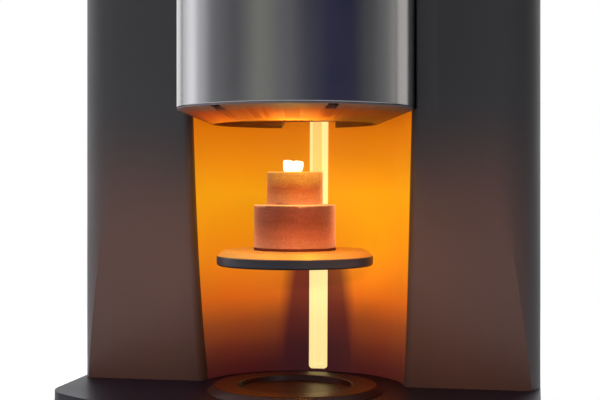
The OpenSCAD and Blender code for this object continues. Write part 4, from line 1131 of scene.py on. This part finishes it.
def soft_light(name, place_at, look_at, size, power, colour=WHITE):
    """A soft rectangular lamp."""
    obj = lamp(name, "AREA", place_at, look_at, power, colour)
    obj.data.shape = "RECTANGLE"
    obj.data.size, obj.data.size_y = size
    return obj


def round_beam(name, place_at, look_at, degrees, power, colour, fade=0.7):
    """A small round beam; fade is the soft share of its width."""
    obj = lamp(name, "SPOT", place_at, look_at, power, colour)
    obj.data.spot_size = math.radians(degrees)
    obj.data.spot_blend = fade
    obj.data.shadow_soft_size = 0.004
    return obj


AMBER = (1.0, 0.36, 0.05)
EMBER = (1.0, 0.28, 0.10)
GOLD = (1.0, 0.58, 0.06)
HONEY = (1.0, 0.45, 0.06)
PEACH = (1.0, 0.58, 0.32)
WARM_WHITE = (1.0, 0.97, 0.94)
CREAM = (1.0, 0.96, 0.91)

# Studio lamps; the first two leave no white patch on the sloped front
for studio_lamp in (
    soft_light("front_left", (-1.75, -1.0, 2.0), (0, -0.1, 0.3), (1.8, 1.8), 70),
    soft_light("top", (0, 0.3, 2.2), (0, 0, 0.4), (1.4, 1.2), 26),
):
    studio_lamp.visible_glossy = False
soft_light("front_right", (1.3, -1.3, 1.7), (0, -0.1, 0.3), (0.9, 0.9), 7, WARM_WHITE)
soft_light("back", (0.4, 2.0, 1.6), (0, 0.1, 0.3), (1.2, 1.0), 24)

# The two niche lamps throw their beams down and back on to the wall
for side, name, power in ((-1, "left_niche_beam", 0.10), (1, "right_niche_beam", 0.22)):
    slot_at = (side * 0.0335, -0.190, 0.2285)
    round_beam(name, slot_at, (0, -0.110, 0.15), 110, power, HONEY)

UNSEEN = [
    # The crown's glow on the underside, and the niche's glow on the wings and the blocks
    soft_light("crown_glow", (0.008, -0.178, 0.2185), (0.008, -0.192, 0.235),
               (0.018, 0.012), 0.065, GOLD),
    soft_light("left_crown_glow", (-0.028, -0.165, 0.212), (-0.034, -0.186, 0.235),
               (0.03, 0.014), 0.040, AMBER),
    round_beam("left_spill", (-0.065, -0.31, 0.125), (-0.118, -0.124, 0.125),
               66, 3.0, EMBER, 1.0),
    round_beam("right_spill", (0.060, -0.31, 0.125), (0.112, -0.124, 0.125),
               66, 3.2, EMBER, 1.0),
    round_beam("block_fill", (0.10, -0.45, 0.19), (0.028, -0.14, 0.163), 17, 4.0, PEACH),
    # Narrow reflectors close beside the head, for the bright lines down its two edges
    soft_light("left_reflector", (-0.088, -0.137, 0.37), (-0.060, -0.185, 0.37),
               (0.024, 0.26), 0.018),
    soft_light("right_reflector", (0.095, -0.132, 0.37), (0.068, -0.158, 0.37),
               (0.022, 0.26), 0.011, CREAM),
]
for unseen_lamp in UNSEEN:
    unseen_lamp.visible_camera = False
    unseen_lamp.visible_glossy = "reflector" in unseen_lamp.name


# Studio round the object: light level by direction, in degrees from the front to the right

STUDIO = [
    # degrees, level, extra blue
    (-180, 1.0, 0.02), (-150, 1.1, 0.02), (-123, 0.80, 0.01), (-105, 1.35, 0.02),
    (-92, 0.65, 0.02), (-71, 0.21, 0.01), (-47, 0.125, 0.01), (-22, 0.29, -0.03),
    (2, 0.18, 0.01), (25, 0.056, 0.03), (44, 0.010, 0.05), (64, 0.014, 0.04),
    (87, 0.10, 0.005), (106, 0.20, 0.0), (122, 0.40, -0.04), (136, 0.95, 0.0),
    (180, 1.0, 0.02),
]
CEILING = (0.55, 0.55, 0.56)


def studio_world():
    """The studio as reflections see it, under an even ceiling; the camera sees plain white."""
    world = bpy.data.worlds.new("studio")
    bpy.context.scene.world = world
    world.use_nodes = True
    tree = world.node_tree
    tree.nodes.clear()

    def node(kind, **inputs):
        made = tree.nodes.new(kind)
        for name, value in inputs.items():
            feed(tree, value, made.inputs[name.replace("_", " ")])
        return made

    around = node("ShaderNodeTexCoord").outputs["Generated"]
    x, y, z = node("ShaderNodeSeparateXYZ", Vector=around).outputs
    turn = math_node(tree, "ARCTAN2", x, math_node(tree, "MULTIPLY", y, -1))
    share = math_node(tree, "ADD", math_node(tree, "DIVIDE", turn, 2 * math.pi), 0.5)
    stops = [
        ((degrees + 180) / 360, (level, level, level + blue)) for degrees, level, blue in STUDIO]
    ring = colour_ramp(tree, share, stops, "EASE")
    above = node("ShaderNodeMapRange", Value=z, From_Min=0.35, From_Max=0.8).outputs["Result"]
    lit = node("ShaderNodeBackground", Color=colour_mix(tree, above, ring, CEILING))
    seen = node("ShaderNodeBackground", Color=(*WHITE, 1))
    mix = tree.nodes.new("ShaderNodeMixShader")
    camera_ray = node("ShaderNodeLightPath").outputs["Is Camera Ray"]
    for value, socket in zip((camera_ray, lit.outputs[0], seen.outputs[0]), mix.inputs):
        feed(tree, value, socket)
    node("ShaderNodeOutputWorld", Surface=mix.outputs[0])


studio_world()
